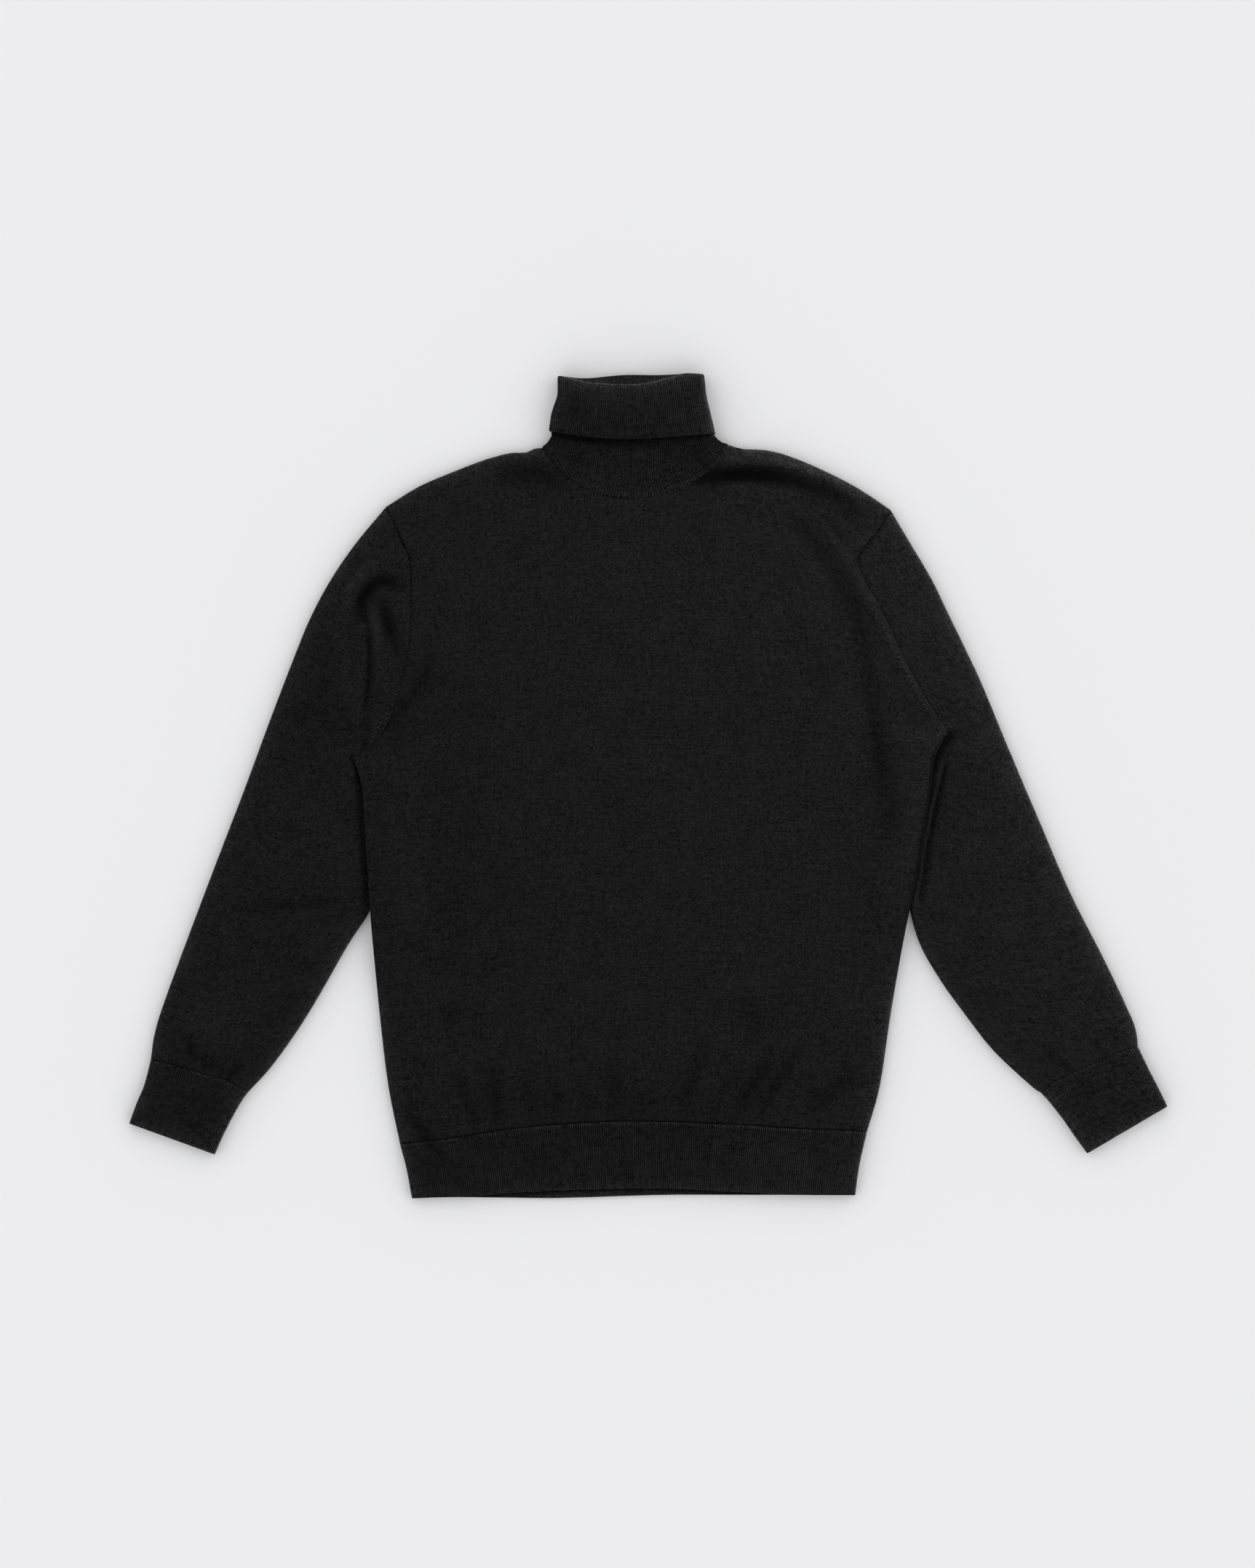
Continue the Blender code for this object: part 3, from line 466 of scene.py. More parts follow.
def makeMarks(arm, surface):
    own, sides, rings = marks[arm], marks["sides"], marks["rings"]
    share, angle = np.linspace(0, 1, rings)[:, None], 2 * np.pi * np.arange(sides) / sides
    bow = np.sin(np.pi * share)
    thick = marks["width"] * (marks["endShare"] + (1 - marks["endShare"]) * bow)
    ahead, out = own["length"] * (share - 0.5) + 0 * angle, thick * np.cos(angle)
    up = marks["rise"] * bow - marks["sink"] + thick * np.sin(angle)
    flat = surface.reshape(-1, 3)
    points, places, faces = [], [], []
    for line in own["lines"]:
        count = int(lengthOf(line) / marks["pitch"])
        for number, spot in enumerate(along(line, np.linspace(0, 1, count))):
            ground = flat[np.argmin(norm(flat[:, :2] - spot, axis=1)), 2]
            turn = math.radians(own["turns"][number % 2])
            x = spot[0] + math.cos(turn) * ahead - math.sin(turn) * out
            y = spot[1] + math.sin(turn) * ahead + math.cos(turn) * out
            ring = len(points) + np.arange(rings * sides).reshape(rings, sides)
            beside = np.roll(ring, -1, axis=1)
            points.extend(np.dstack([x, y, ground + up]).reshape(-1, 3))
            places.extend((number + 0.5 * step / (rings - 1), side / sides)
                          for step in range(rings) for side in range(sides))
            faces += np.dstack([ring[:-1], beside[:-1], beside[1:], ring[1:]]).reshape(-1, 4).tolist()
            faces += [ring[0, ::-1].tolist(), ring[-1].tolist()]
    made = makeMesh(f"{arm}ArmholeLoops", points, faces, places)
    # the loops carry a painted highlight over their whole surface
    paint(made, "paintedshading", np.full(len(points), own["pale"]))
    ride(made, "jersey")


# Body
bodyLook = {
    "pitch": 3.1, "backPitch": 6.0, "underarm": 0.62, "neck": (0.308, 0.676),
    "liftFrom": 0.046, "liftTo": 0.12, "liftRows": (0.2175, 0.29, 0.3625, 0.58, 0.62),
    "liftSharpens": 0.93,    # how much the edge's radius shrinks where it is lifted
    # where the body's edge is lifted over a sleeve, its painted rim highlight is pushed away
    "liftHidesPaintedRim": 8, "backRadius": 2.2, "furrowReach": 3,
    "furrows": ((leftArmhole, 0.4), (rightArmhole, 0.2), (frontNeck, 0.1), (hemSeam, 0.65)),
}

# Painted shadows beside seams and overlaps, as depths of painted shading, with a painted highlight low on the
# right armhole
shades = {
    # line, depth below and above a height, width, the height and how gradually it changes there
    "leftArmhole": (leftArmhole, -0.9, -2.2, 1.1, 200, 12),
    "rightArmhole": (rightArmhole, 1.2, -3.6, 1.1, 200, 12),
    "hem": (hemSeam, -3.0, -3.0, 1.8, 0, 1), "rightEdge": (rightSide, 0, -6.0, 2.4, -125, 15),
}
# Painted shadow that the body's edge casts on a sleeve tucked beneath it
tuck = {"depth": -7.0, "along": (-122, -112, 46, 56), "core": 0.4,
        # widths at these heights, on the left and on the right
        "heights": (-115, -30, 15, 45), "left": (0.5, 0.6, 1.7, 2.6), "right": (1.1, 1.3, 3.1, 5.6)}


def bodyGrid(neckCurve, pitch):
    first, last = bodyLook["neck"]
    underarm = bodyLook["underarm"]
    width = lengthOf(hemSeam)
    left = stations(width * first, pitch, edgeSteps, seamSteps) * first
    middle = first + stations(width * (last - first), pitch, seamSteps, seamSteps) * (last - first)
    right = last + stations(width * (1 - last), pitch, seamSteps, edgeSteps) * (1 - last)
    across = np.hstack([left, middle[1:-1], right])
    sides = stations(lengthOf(leftSide), pitch, edgeSteps, underarmSteps)
    armholes = stations(lengthOf(leftArmhole), pitch, underarmSteps, edgeSteps)[1:]
    up = np.hstack([sides * underarm, underarm + armholes * (1 - underarm)])
    leftEdge = np.vstack([along(leftSide, sides), along(leftArmhole, armholes)])
    rightEdge = np.vstack([along(rightSide, sides), along(rightArmhole, armholes)])
    neckPart = (across > first + tiny) & (across < last - tiny)
    top = np.vstack([along(leftShoulder, across[across <= first + tiny] / first),
                     along(neckCurve, (across[neckPart] - first) / (last - first)),
                     along(rightShoulder, (across[across >= last - tiny] - last) / (1 - last))])
    plan = patch(along(hemSeam, across), top, leftEdge, rightEdge, across, up)
    return plan, across, up


def bodyLift(across, up):
    edge = np.minimum(across, 1 - across)
    sideways = np.interp(edge, (bodyLook["liftFrom"], bodyLook["liftTo"]), (1, 0))
    upward = np.interp(up, bodyLook["liftRows"], (0, 0.5, 1, 1, 0))
    share = upward[:, None] * sideways[None, :]
    return cloth["tuckLift"] * share * share * (3 - 2 * share)


def freeDistance(plan, across, up):
    # distance from the free edges: the sides below the underarms, and the shoulders
    width = norm(plan[:, -1] - plan[:, 0], axis=1)
    sideways = np.minimum(across, 1 - across)[None, :] * width[:, None]
    higher = up > bodyLook["underarm"]
    corners = np.minimum(norm(plan - leftSide[-1], axis=2),
                         norm(plan - rightSide[-1], axis=2))
    side = np.where(higher[:, None], corners, sideways)
    shoulder = nearest(plan, (leftShoulder, rightShoulder))
    first, last = bodyLook["neck"]
    shoulder[-1, (across <= first) | (across >= last)] = 0
    return np.minimum(side, shoulder)


def lineShade(plan, name):
    # a painted shade along a line, a painted highlight where its depth is positive, changing at a height
    line, low, high, width, height, fade = shades[name]
    upper = np.clip((plan[..., 1] - height) / fade, 0, 1)
    return (low + (high - low) * upper) * bell(nearest(plan, (line,)), width)


def tuckShade(plan, side):
    # the painted shadow on a sleeve beside the body that lies over it, widest at the underarm
    width = np.interp(plan[..., 1], tuck["heights"], tuck[side])
    depth = tuck["depth"] * np.interp(plan[..., 1], tuck["along"], (0, 1, 1, 0))
    distance = nearest(plan, (leftSide if side == "left" else rightSide,))
    return depth * bell(np.clip(distance - tuck["core"] * width, 0, None), width)


def makeBody():
    look = bodyLook
    plan, across, up = bodyGrid(frontNeck, look["pitch"])
    lift = bodyLift(across, up)
    outline = (leftSide, rightSide, leftShoulder, rightShoulder, leftOuter, rightOuter)
    top = 2 * cloth["jerseyWall"] + room(plan, outline, "body", 3)
    free = freeDistance(plan, across, up)
    over = lift / cloth["tuckLift"]
    radius = cloth["edgeRadius"] * (1 - look["liftSharpens"] * over)
    height = (lift + edgeFall(top, free, radius)
              + furrows(plan, look["furrows"]) * arch(free, look["furrowReach"]))
    # painted shadows along the armholes, the hem seam and the body's right edge over the sleeve, and a
    # painted highlight low on the right armhole
    shade = ((lineShade(plan, "leftArmhole") + lineShade(plan, "rightArmhole")) * (1 - over)
             + lineShade(plan, "hem") + lineShade(plan, "rightEdge"))
    places = stitchPlaces(plan, *cloth["stitch"])
    front = makeCloth("sweaterFront", np.dstack([plan, height]), places, free + look["liftHidesPaintedRim"] * lift,
                      relief(plan, "body") + shade, cloth["jerseyWall"], "jersey")
    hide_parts("body_front")

    backPlan, backAcross, backUp = bodyGrid(backNeck, look["backPitch"])
    free = freeDistance(backPlan, backAcross, backUp)
    lift = bodyLift(backAcross, backUp)
    under = lift + edgeRise(free, look["backRadius"])
    places = stitchPlaces(backPlan, *cloth["stitch"])
    back = makeCloth("sweaterBack", np.dstack([backPlan, under]), places, free + look["liftHidesPaintedRim"] * lift,
                     0, cloth["jerseyWall"], "jersey", faces=-1)
    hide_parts("body_back")
    makeMarks("right", np.dstack([plan, height]))
    return plan, across, over * cloth["tuckLift"] + top


# Sleeves and cuffs
sleeveLook = {
    "pitch": 3.0, "width": 110,
    "armholeRows": 0.375,    # share of the rows beside the armhole
    "topShare": 0.39,        # share of the outer edge that they take
    "towards": 4,            # the point of the outer edge that the armhole is set back towards
    "seamSteps": (1.0, 2.5), "lowerRadius": 2.0, "furrowReach": 3,
    "armholeFurrow": 0.5, "cuffFurrow": 0.6, "seeds": {"left": 11, "right": 17},
}
cuffLook = {
    "pitch": 3.0, "course": 1.15, "room": 0.9, "ripple": (0.25, 30, 23), "seamReach": 12,
    # the chain's beads rise and also carry a painted highlight
    "chainRise": 0.35, "chainHighlight": 3,
    "chainFrom": 4,      # how far from the outline the chain stands full
    "edgeDrop": 0.8, "edgeRound": 1.6, "lowerEdgeRise": 0.4,
}


def makeSleeve(side, armhole, outer, inner, cuff, shoulder):
    look = sleeveLook
    topShare, split = look["topShare"], look["armholeRows"]
    beside = stations(lengthOf(armhole), look["pitch"], look["seamSteps"], look["seamSteps"])
    below = stations(lengthOf(inner), look["pitch"], look["seamSteps"], edgeSteps)[1:]
    up = np.hstack([beside * split, split + below * (1 - split)])
    seamPoint, wrist = np.array(cuff["seam"][-1], float), np.array(cuff["inner"][-1], float)
    across = stations(look["width"], look["pitch"])
    seam = along(cuff["seam"][::-1], across)
    start = setBack(along(armhole[::-1], beside), outer[look["towards"]])
    end = setBack(seam, seamPoint - (wrist - seamPoint))
    path = np.vstack([start, along(inner, below)])
    far = along(outer, np.hstack([beside * topShare, topShare + below * (1 - topShare)]))
    path[-1], far[0], far[-1] = end[0], path[0], end[-1]
    plan = patch(np.repeat(path[:1], len(across), 0), end, path, far, across, up)

    width = norm(far - path, axis=1)
    towardsOuter = (1 - across)[None, :] * width[:, None]
    besideArmhole = up <= split
    fromUnderarm = norm(plan - path[len(beside) - 1], axis=2)
    towardsInner = np.where(besideArmhole[:, None], fromUnderarm, across[None, :] * width[:, None])
    free = np.minimum(towardsOuter, towardsInner)
    top = 2 * cloth["jerseyWall"] + room(plan, (outer, inner, shoulder), "sleeve", look["seeds"][side])
    seams = furrows(plan, ((armhole, look["armholeFurrow"]), (cuff["seam"], look["cuffFurrow"])))
    upper = edgeFall(top, free, cloth["edgeRadius"]) + seams * arch(free, look["furrowReach"])
    lower = edgeRise(free, look["lowerRadius"])
    # fold heights for painted shading in the troughs, with the armhole's painted shade and the painted shadow
    # of the body's edge
    bends = relief(plan, "sleeve") + lineShade(plan, f"{side}Armhole") + tuckShade(plan, side)
    sleeve = makeCloth(f"{side}Sleeve", tube(plan, upper, lower),
                       tubePlaces(stitchPlaces(plan, *cloth["stitch"])), aroundBack(free, free),
                       aroundBack(bends, 0 * bends), cloth["jerseyWall"], "jersey", weld=True)
    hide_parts(f"sleeve_{side}")
    if side == "left":
        makeMarks("left", np.dstack([plan, upper]))
    makeCuff(side, cuff, across, top[-1])


def makeCuff(side, cuff, sleeveAcross, sleeveTop):
    look = cuffLook
    wrist = np.array(cuff["inner"][-1], float)
    shares, numbers = ribShares(ribs["cuff"])
    length = lengthOf(cuff["inner"])
    up = stations(length, look["pitch"], edgeSteps[:5], edgeSteps[:5])
    start = setBack(along(cuff["seam"][::-1], shares), wrist)
    near, far = along(cuff["inner"], up), along(cuff["outer"], up)
    near[0], far[0] = start[0], start[-1]
    opening = onLine(np.array([near[-1], far[-1]]), (0, 1), shares)
    plan = patch(start, opening, near, far, shares, up)
    free = fromSides(shares, norm(far - near, axis=1))
    fromSeam, fromEdge = up[:, None] * length, (1 - up)[:, None] * length
    chain = linkChain(numbers, fromSeam) * (1 - np.exp(-free / look["chainFrom"]))
    top = ribTop(look, plan, fromSeam, fromEdge, np.interp(shares, sleeveAcross, sleeveTop), chain)
    inwards = arch(free, ribs["reach"])
    ridge = ribRidge(numbers) * inwards
    upper = edgeFall(top, free, ribs["edgeRadius"]) + ridge
    lower = edgeRise(free, ribs["lowerRadius"]) + (ribs["height"] - ridge) * inwards
    lower = lower + look["lowerEdgeRise"] * (1 - arch(fromEdge, ribs["lowerEdgeRound"])) * inwards
    free = np.minimum(free, fromEdge)
    made = makeCloth(f"{side}Cuff", tube(plan, upper, lower),
                     tubePlaces(ribPlaces(plan, numbers, look["course"])), aroundBack(free, free),
                     aroundBack(look["chainHighlight"] * chain, 0 * chain), ribs["shell"], "rib", weld=True)
    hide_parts(f"cuff_{side}")


# Hem band
hemLook = {
    "depth": 56.0, "pitch": 3.4, "course": 1.2, "room": 0.6, "ripple": (0.2, 40, 31), "seamReach": 14,
    # painted shading from the folds, a painted highlight on the chain's beads, and painted light over the
    # back band, whose visible strip lies in the front band's shade
    "bend": 0.5, "chainRise": 0.45, "shade": 0.6, "chainHighlight": 3.5, "backPaintedLight": 4,
    # the last two set back the painted rim highlight from the open edges of the front and back bands
    "edgeDrop": 1.1, "edgeRound": 1.8, "backEdgeRise": 0.6, "paintedRimFromEdge": 4.0, "backPaintedRimFromEdge": 1.2,
}


def makeHems(bodyPlan, bodyAcross, bodyTop):
    look = hemLook
    shares, numbers = ribShares(ribs["hem"])
    length = look["depth"]
    up = stations(length, look["pitch"], edgeSteps[:6], edgeSteps[:5])
    seam = onLine(setBack(bodyPlan[0], (0, -1000)), bodyAcross, shares)
    left, right = along(hemLeft, up), along(hemRight, up)
    left[0], right[0] = seam[0], seam[-1]
    free = fromSides(shares, norm(right - left, axis=1))
    ridge, inwards = ribRidge(numbers), arch(free, ribs["reach"])
    fromSeam, fromEdge = up[:, None] * length, (1 - up)[:, None] * length

    plan = patch(seam, along(frontHem, shares), left, right, shares, up)
    bends, chain = relief(plan, "body"), linkChain(numbers, fromSeam)
    top = ribTop(look, plan, fromSeam, fromEdge, np.interp(shares, bodyAcross, bodyTop[0]), chain)
    height = edgeFall(top + look["bend"] * bends, free, ribs["edgeRadius"]) + ridge * inwards
    front = makeCloth("frontHem", np.dstack([plan, height]), ribPlaces(plan, numbers, look["course"]),
                      np.minimum(free, fromEdge + look["paintedRimFromEdge"]),
                      look["shade"] * bends + look["chainHighlight"] * chain, ribs["shell"], "rib")

    plan = patch(seam, along(backHem, shares), left, right, shares, up)
    height = edgeRise(free, ribs["lowerRadius"]) + (ribs["height"] - ridge) * inwards
    height = height + look["backEdgeRise"] * (1 - arch(fromEdge, ribs["lowerEdgeRound"]))
    # the back band is lightened with painted light, as its visible strip lies in the front band's shade
    back = makeCloth("backHem", np.dstack([plan, height]), ribPlaces(plan, numbers, look["course"]),
                     np.minimum(free, fromEdge + look["backPaintedRimFromEdge"]), look["backPaintedLight"],
                     ribs["shell"], "rib", faces=-1)
    for band, node in ((front, "hem_rib_front"), (back, "hem_rib_back")):
        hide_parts(node)


# Collar: up from the neckline as the stand, over the fold and down as the flap
collarLook = {
    "frontFold": [(-85, 383), (-67, 379), (-52, 376), (-14, 375), (3, 377), (20, 381), (34, 385),
                  (52, 384.5)],
    "backFold": [(-85, 383), (-60, 381), (-24, 384), (11, 384), (34, 385), (52, 384.5)],
    "flapHem": [(-93, 332), (-67, 328), (-44, 325.5), (-20, 324.5), (3, 325.5), (26, 327), (50, 328.5),
                (62.5, 329)],
    # height between the flap's hem and its fold, left edge, right edge
    "outline": [(0.0, -93, 62.5), (0.3, -91, 58.5), (0.65, -85, 54.0), (1.0, -85, 52.0)],
    "footDrop": 5.0, "foot": (-90.5, 64.5), "middle": (-94.0, 68.0), "towards": (-12, 400),
    "stackTop": 8.1, "standTop": 6.0, "footTop": 4.4, "wall": 1.8, "gap": 0.3, "course": 1.2,
    "seamRise": 0.1, "standFull": 0.35, "hemLift": 1.0, "hemRound": 0.9, "flapDepth": 54, "hemReach": 7,
    # where the rings lie: up the stand, up to the fold, down the flap, inside and round both folds
    "climb": (0, 0.04, 0.09, 0.16, 0.25, 0.36, 0.48, 0.6, 0.72, 0.84, 1.0),
    "levels": (0.0, 0.08, 0.2, 0.35, 0.5, 0.65, 0.8, 0.92),
    "flap": (0.0, 0.012, 0.03, 0.06, 0.1, 0.15, 0.21, 0.28, 0.35, 0.42, 0.49, 0.56, 0.63, 0.7, 0.77,
             0.84, 0.9),
    "lining": (0.92, 0.6, 0.3, 0.0), "liningClimb": (0.84, 0.48, 0.16, 0.0),
    "foldInside": (15, 90, 165), "hemTurn": (150, 90, 30),
    "foldOutside": [(angle, 1.0 if angle < 150 else 0.4) for angle in range(0, 181, 20)],
    # how full the ribs stand: growing up the stand, near the fold inside, round the flap's hem
    "standRidge": (0.2, 10), "innerRidge": 0.15, "hemRidge": 0.6,
    "sideRound": (1.2, 0.6),    # least radius of the sides, and their radius as a share of the depth
    # the flap's shadow on the stand: depth, and how strong and wide it is from left to right
    "shadow": -5.5, "shadowAlong": ((0, 0.5, 0.85, 1), (0.95, 1.1, 0.6, 0.4)), "shadowWidth": (3.2, 1.6),
    # a painted highlight on the chain stitch at the neckline, painted shade over the stand, and painted shade
    # on the flap, deepest at its hem and weaker to the right
    "chain": 1.6, "chainLow": 0.3, "standShade": -0.9,
    "flapShade": -1.1, "flapShadeAlong": ((0, 0.6, 1), (1, 1, 0.25)),
}


def levelRow(height, edgeIn, drop, fold, shares):
    look = collarLook
    hem, crest = along(look["flapHem"], shares), along(look[fold], shares)
    levels = np.array(look["outline"])
    left, right = (np.interp(height, levels[:, 0], levels[:, end]) for end in (1, 2))
    y = hem[:, 1] + height * (crest[:, 1] - hem[:, 1]) - drop
    return np.column_stack([left + edgeIn + (right - left - 2 * edgeIn) * shares, y])


def footRow(line, shareUp, shares, inset):
    look = collarLook
    high = levelRow(0, 0, look["footDrop"], "frontFold", shares)
    left, right = (np.interp(shareUp, (0, 0.5, 1), (line[end, 0], look["middle"][end], look["foot"][end]))
                   for end in (0, -1))
    y = line[:, 1] + shareUp * (high[:, 1] - line[:, 1])
    blend = min(1.0, shareUp * 3)
    x = line[:, 0] * (1 - blend) + (left + (right - left) * shares) * blend
    return np.column_stack([x + inset * (1 - 2 * shares), y])


def makeCollar(bodyPlan, bodyAcross, bodyTop):
    look = collarLook
    shares, numbers = ribShares(ribs["collar"])
    first, last = bodyLook["neck"]
    neckPart = (bodyAcross >= first - tiny) & (bodyAcross <= last + tiny)
    neckShares = (bodyAcross[neckPart] - first) / (last - first)
    frontSeam = onLine(setBack(bodyPlan[-1, neckPart], look["towards"]), neckShares, shares)
    backSeam = setBack(along(backNeck, shares), look["towards"])
    backSeam[0], backSeam[-1] = frontSeam[0], frontSeam[-1]
    seamTop = np.interp(shares, neckShares, bodyTop[-1, neckPart]) + look["seamRise"]
    wall, gap, foot, stand, top = (look[part] for part in ("wall", "gap", "footTop", "standTop", "stackTop"))
    shell, inner, radius = wall + gap, 0.5 * gap, 0.5 * (2 * wall + gap)
    count = len(shares)
    rings = []

    def addRing(front, back, frontZ, backZ, waves, facing):
        # the front from left to right, then the back again from right to left
        free = np.minimum(shares, 1 - shares) * (front[-1, 0] - front[0, 0])
        frontZ, backZ = np.broadcast_to(frontZ, count), np.broadcast_to(backZ, count) + waves * ribs["height"]
        middle = 0.5 * (frontZ + backZ)
        least, share = look["sideRound"]
        turn = arch(free, max(least, share * float((frontZ - backZ)[count // 2])))
        ridge = waves * ribRidge(numbers)
        outwards = np.column_stack([np.sign(shares - 0.5) * (1 - turn) * ridge * facing, 0 * turn])
        upper = middle + (frontZ - middle + ridge * facing) * turn
        lower = middle + (backZ - middle - ridge * facing) * turn
        rings.append(np.vstack([np.column_stack([front + outwards, upper]),
                                np.column_stack([back + outwards, lower])[-2:0:-1]]))

    def addStand(shareUp, inside):
        z = seamTop + (foot - seamTop) * shareUp
        inset = (wall if inside else 0) * min(1, shareUp * 4)
        front, back = (footRow(line, shareUp, shares, inset) for line in (frontSeam, backSeam))
        if inside:
            addRing(front, back, z - wall, shell * shareUp + wall, 0.0, -1)
        else:
            first, gain = look["standRidge"]
            addRing(front, back, z, shell * shareUp, min(1, first + gain * shareUp), 1)

    def addLevel(level, edgeIn, drop, frontZ, waves):
        front, back = (levelRow(level, edgeIn, drop, fold, shares) for fold in ("frontFold", "backFold"))
        addRing(front, back, frontZ, edgeIn, waves, 1)

    def standHeight(level):
        return foot + (stand - foot) * min(1, level / look["standFull"])

    def flapLift(level):
        return look["hemLift"] * math.exp(-(level * look["flapDepth"] / look["hemReach"]) ** 2)

    for shareUp in look["climb"]:
        addStand(shareUp, False)
    for level in look["levels"]:
        addLevel(level, shell, 0, standHeight(level), look["innerRidge"])
    for turn in np.radians(look["foldInside"]):
        addLevel(1, wall + inner * (1 + math.cos(turn)), wall + inner * (1 - math.sin(turn)),
                 stand + inner * (1 - math.cos(turn)), 0.0)
    for level in reversed(look["levels"]):
        addLevel(level, wall, 0, stand + gap + flapLift(level), 0.0)
    for turn in np.radians(look["hemTurn"]):
        up = 0.5 * wall * (1 + math.cos(turn))
        addLevel(0, wall - up, look["hemRound"] * math.sin(turn), stand + gap + look["hemLift"] + up,
                 look["hemRidge"])
    flapFirst, flap = len(rings), np.array(look["flap"])
    for level in flap:
        addLevel(level, 0, 0, top + flapLift(level), 1.0)
    for angle, ridge in look["foldOutside"]:
        turn = math.radians(angle)
        fallen = radius * (1 - math.cos(turn))
        addLevel(1, fallen, radius * (1 - math.sin(turn)), top - fallen, ridge)
    for level in look["lining"]:
        addLevel(level, 2 * radius, 0, standHeight(level) - wall, 0.0)
    for shareUp in look["liningClimb"]:
        addStand(shareUp, True)
    rings.append(rings[0])

    grid = np.array(rings)
    grid = np.hstack([grid, grid[:, :1]])
    steps = norm(np.diff(grid[:, count // 2], axis=0), axis=1)
    courses = np.hstack([[0], np.cumsum(steps)]) / look["course"]
    around = np.hstack([numbers, 2 * numbers[-1] - numbers[-2::-1]])
    places = np.stack(np.broadcast_arrays(around[None, :], courses[:, None]), axis=-1)
    # distance from the collar's side edges and its fold's crest, where the painted rim highlight lies
    ends = np.array([0.0, 1.0])
    edges = np.array([levelRow(height, 0, 0, "frontFold", ends) for height in np.linspace(0, 1, 12)])
    crest = along(look["frontFold"], np.linspace(0, 1, 24))
    paintedrim = np.min([distanceTo(grid[..., :2], line)[0] for line in (edges[:, 0], edges[:, 1], crest)], axis=0)

    # painted shading: the flap's painted shadow on the stand, painted shade over the stand and on the flap
    paintedshading = np.zeros(grid.shape[:2])
    ends, climbed = np.hstack([shares, shares[-2::-1]]), len(look["climb"])
    deep = np.interp(ends, *look["shadowAlong"])
    least, more = look["shadowWidth"]
    belowHem = distanceTo(grid[:climbed, :, :2], along(look["flapHem"], np.linspace(0, 1, 24)))[0]
    paintedshading[:climbed] = look["shadow"] * deep * bell(belowHem, least + more * deep) + look["standShade"]
    paintedshading[flapFirst:flapFirst + len(flap)] = (look["flapShade"] * (1 - flap)[:, None]
                                               * np.interp(ends, *look["flapShadeAlong"]))
    # painted highlight on the chain stitch's beads along the neckline seam
    low = look["chainLow"]
    chain = look["chain"] * np.sin(np.pi * ends) * (low + (1 - low) * np.sin(np.pi * around) ** 2)
    paintedshading[:3] += chain
    paintedshading[-1] += chain
    collar = makeCloth("rollCollar", grid, places, paintedrim, paintedshading, 0, "rib", weld=True)
    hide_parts("collar")


# Shader groups shared by the jersey and the ribbed cloth
def makeGroup(name, inputs, outputs):
    tree = bpy.data.node_groups.new(name, "ShaderNodeTree")
    for sockets, side in ((inputs, "INPUT"), (outputs, "OUTPUT")):
        for label, kind in sockets.items():
            tree.interface.new_socket(name=label, in_out=side, socket_type=f"NodeSocket{kind}")
    return tree, tree.nodes.new("NodeGroupInput").outputs, tree.nodes.new("NodeGroupOutput").inputs


def calc(tree, operation, *values, kind="Math"):
    node = tree.nodes.new(f"ShaderNode{kind}")
    node.operation = operation
    for socket, value in zip(node.inputs, values):
        if isinstance(value, (int, float, tuple)):
            socket.default_value = value
        else:
            tree.links.new(value, socket)
    return node.outputs[0]


def noiseMask(tree, place, scale, detail=2.0, rough=0.5):
    node = tree.nodes.new("ShaderNodeTexNoise")
    node.inputs["Scale"].default_value = scale
    node.inputs["Detail"].default_value = detail
    node.inputs["Roughness"].default_value = rough
    tree.links.new(place, node.inputs["Vector"])
    return node.outputs["Fac"]


loopShape = {"wander": 0.35, "slope": 0.85, "middle": 0.6, "swing": 0.4, "roundness": 0.5}


def knitLoopsGroup():
    # V-shaped loops of a plain knit: place counts wales in X and courses in Y;
    # the second output is painted shade between the loops, and the furrow amount adds painted shade along the
    # lines between whole wales, as between ribs
    tree, given, put = makeGroup("knit loops", {"Place": "Vector", "Uneven": "Float", "FurrowShade": "Float"},
                                 {"Height": "Float", "GapShade": "Float"})
    parts = tree.nodes.new("ShaderNodeSeparateXYZ")
    tree.links.new(given["Place"], parts.inputs[0])
    wobble = calc(tree, "SUBTRACT", noiseMask(tree, given["Place"], loopShape["wander"]), 0.5)
    wale = calc(tree, "MULTIPLY_ADD", wobble, given["Uneven"], parts.outputs[0])
    across = calc(tree, "ABSOLUTE", calc(tree, "SUBTRACT", calc(tree, "FRACT", wale), 0.5))
    leg = calc(tree, "MULTIPLY", across, 2.0)
    lean = calc(tree, "SUBTRACT", parts.outputs[1], calc(tree, "MULTIPLY", leg, loopShape["slope"]))
    strand = calc(tree, "COSINE", calc(tree, "MULTIPLY", lean, 2 * math.pi))
    strand = calc(tree, "MULTIPLY_ADD", strand, loopShape["swing"], loopShape["middle"])
    profile = calc(tree, "SINE", calc(tree, "MULTIPLY", leg, math.pi))
    height = calc(tree, "MULTIPLY", strand, calc(tree, "POWER", profile, loopShape["roundness"]))
    tree.links.new(height, put["Height"])
    between = calc(tree, "COSINE", calc(tree, "MULTIPLY", parts.outputs[0], 2 * math.pi))
    between = calc(tree, "MULTIPLY", calc(tree, "MAXIMUM", between, 0.0), given["FurrowShade"])
    tree.links.new(calc(tree, "ADD", calc(tree, "SUBTRACT", 1.0, height), between), put["GapShade"])
    return tree


def stitchCell(tree, place, stretch):
    # one random value for each stitch, or for a run of stitches where stretched
    scaled = calc(tree, "MULTIPLY", place, stretch, kind="VectorMath")
    chance = tree.nodes.new("ShaderNodeTexWhiteNoise")
    tree.links.new(calc(tree, "FLOOR", scaled, kind="VectorMath"), chance.inputs["Vector"])
    return calc(tree, "SUBTRACT", chance.outputs["Value"], 0.5)


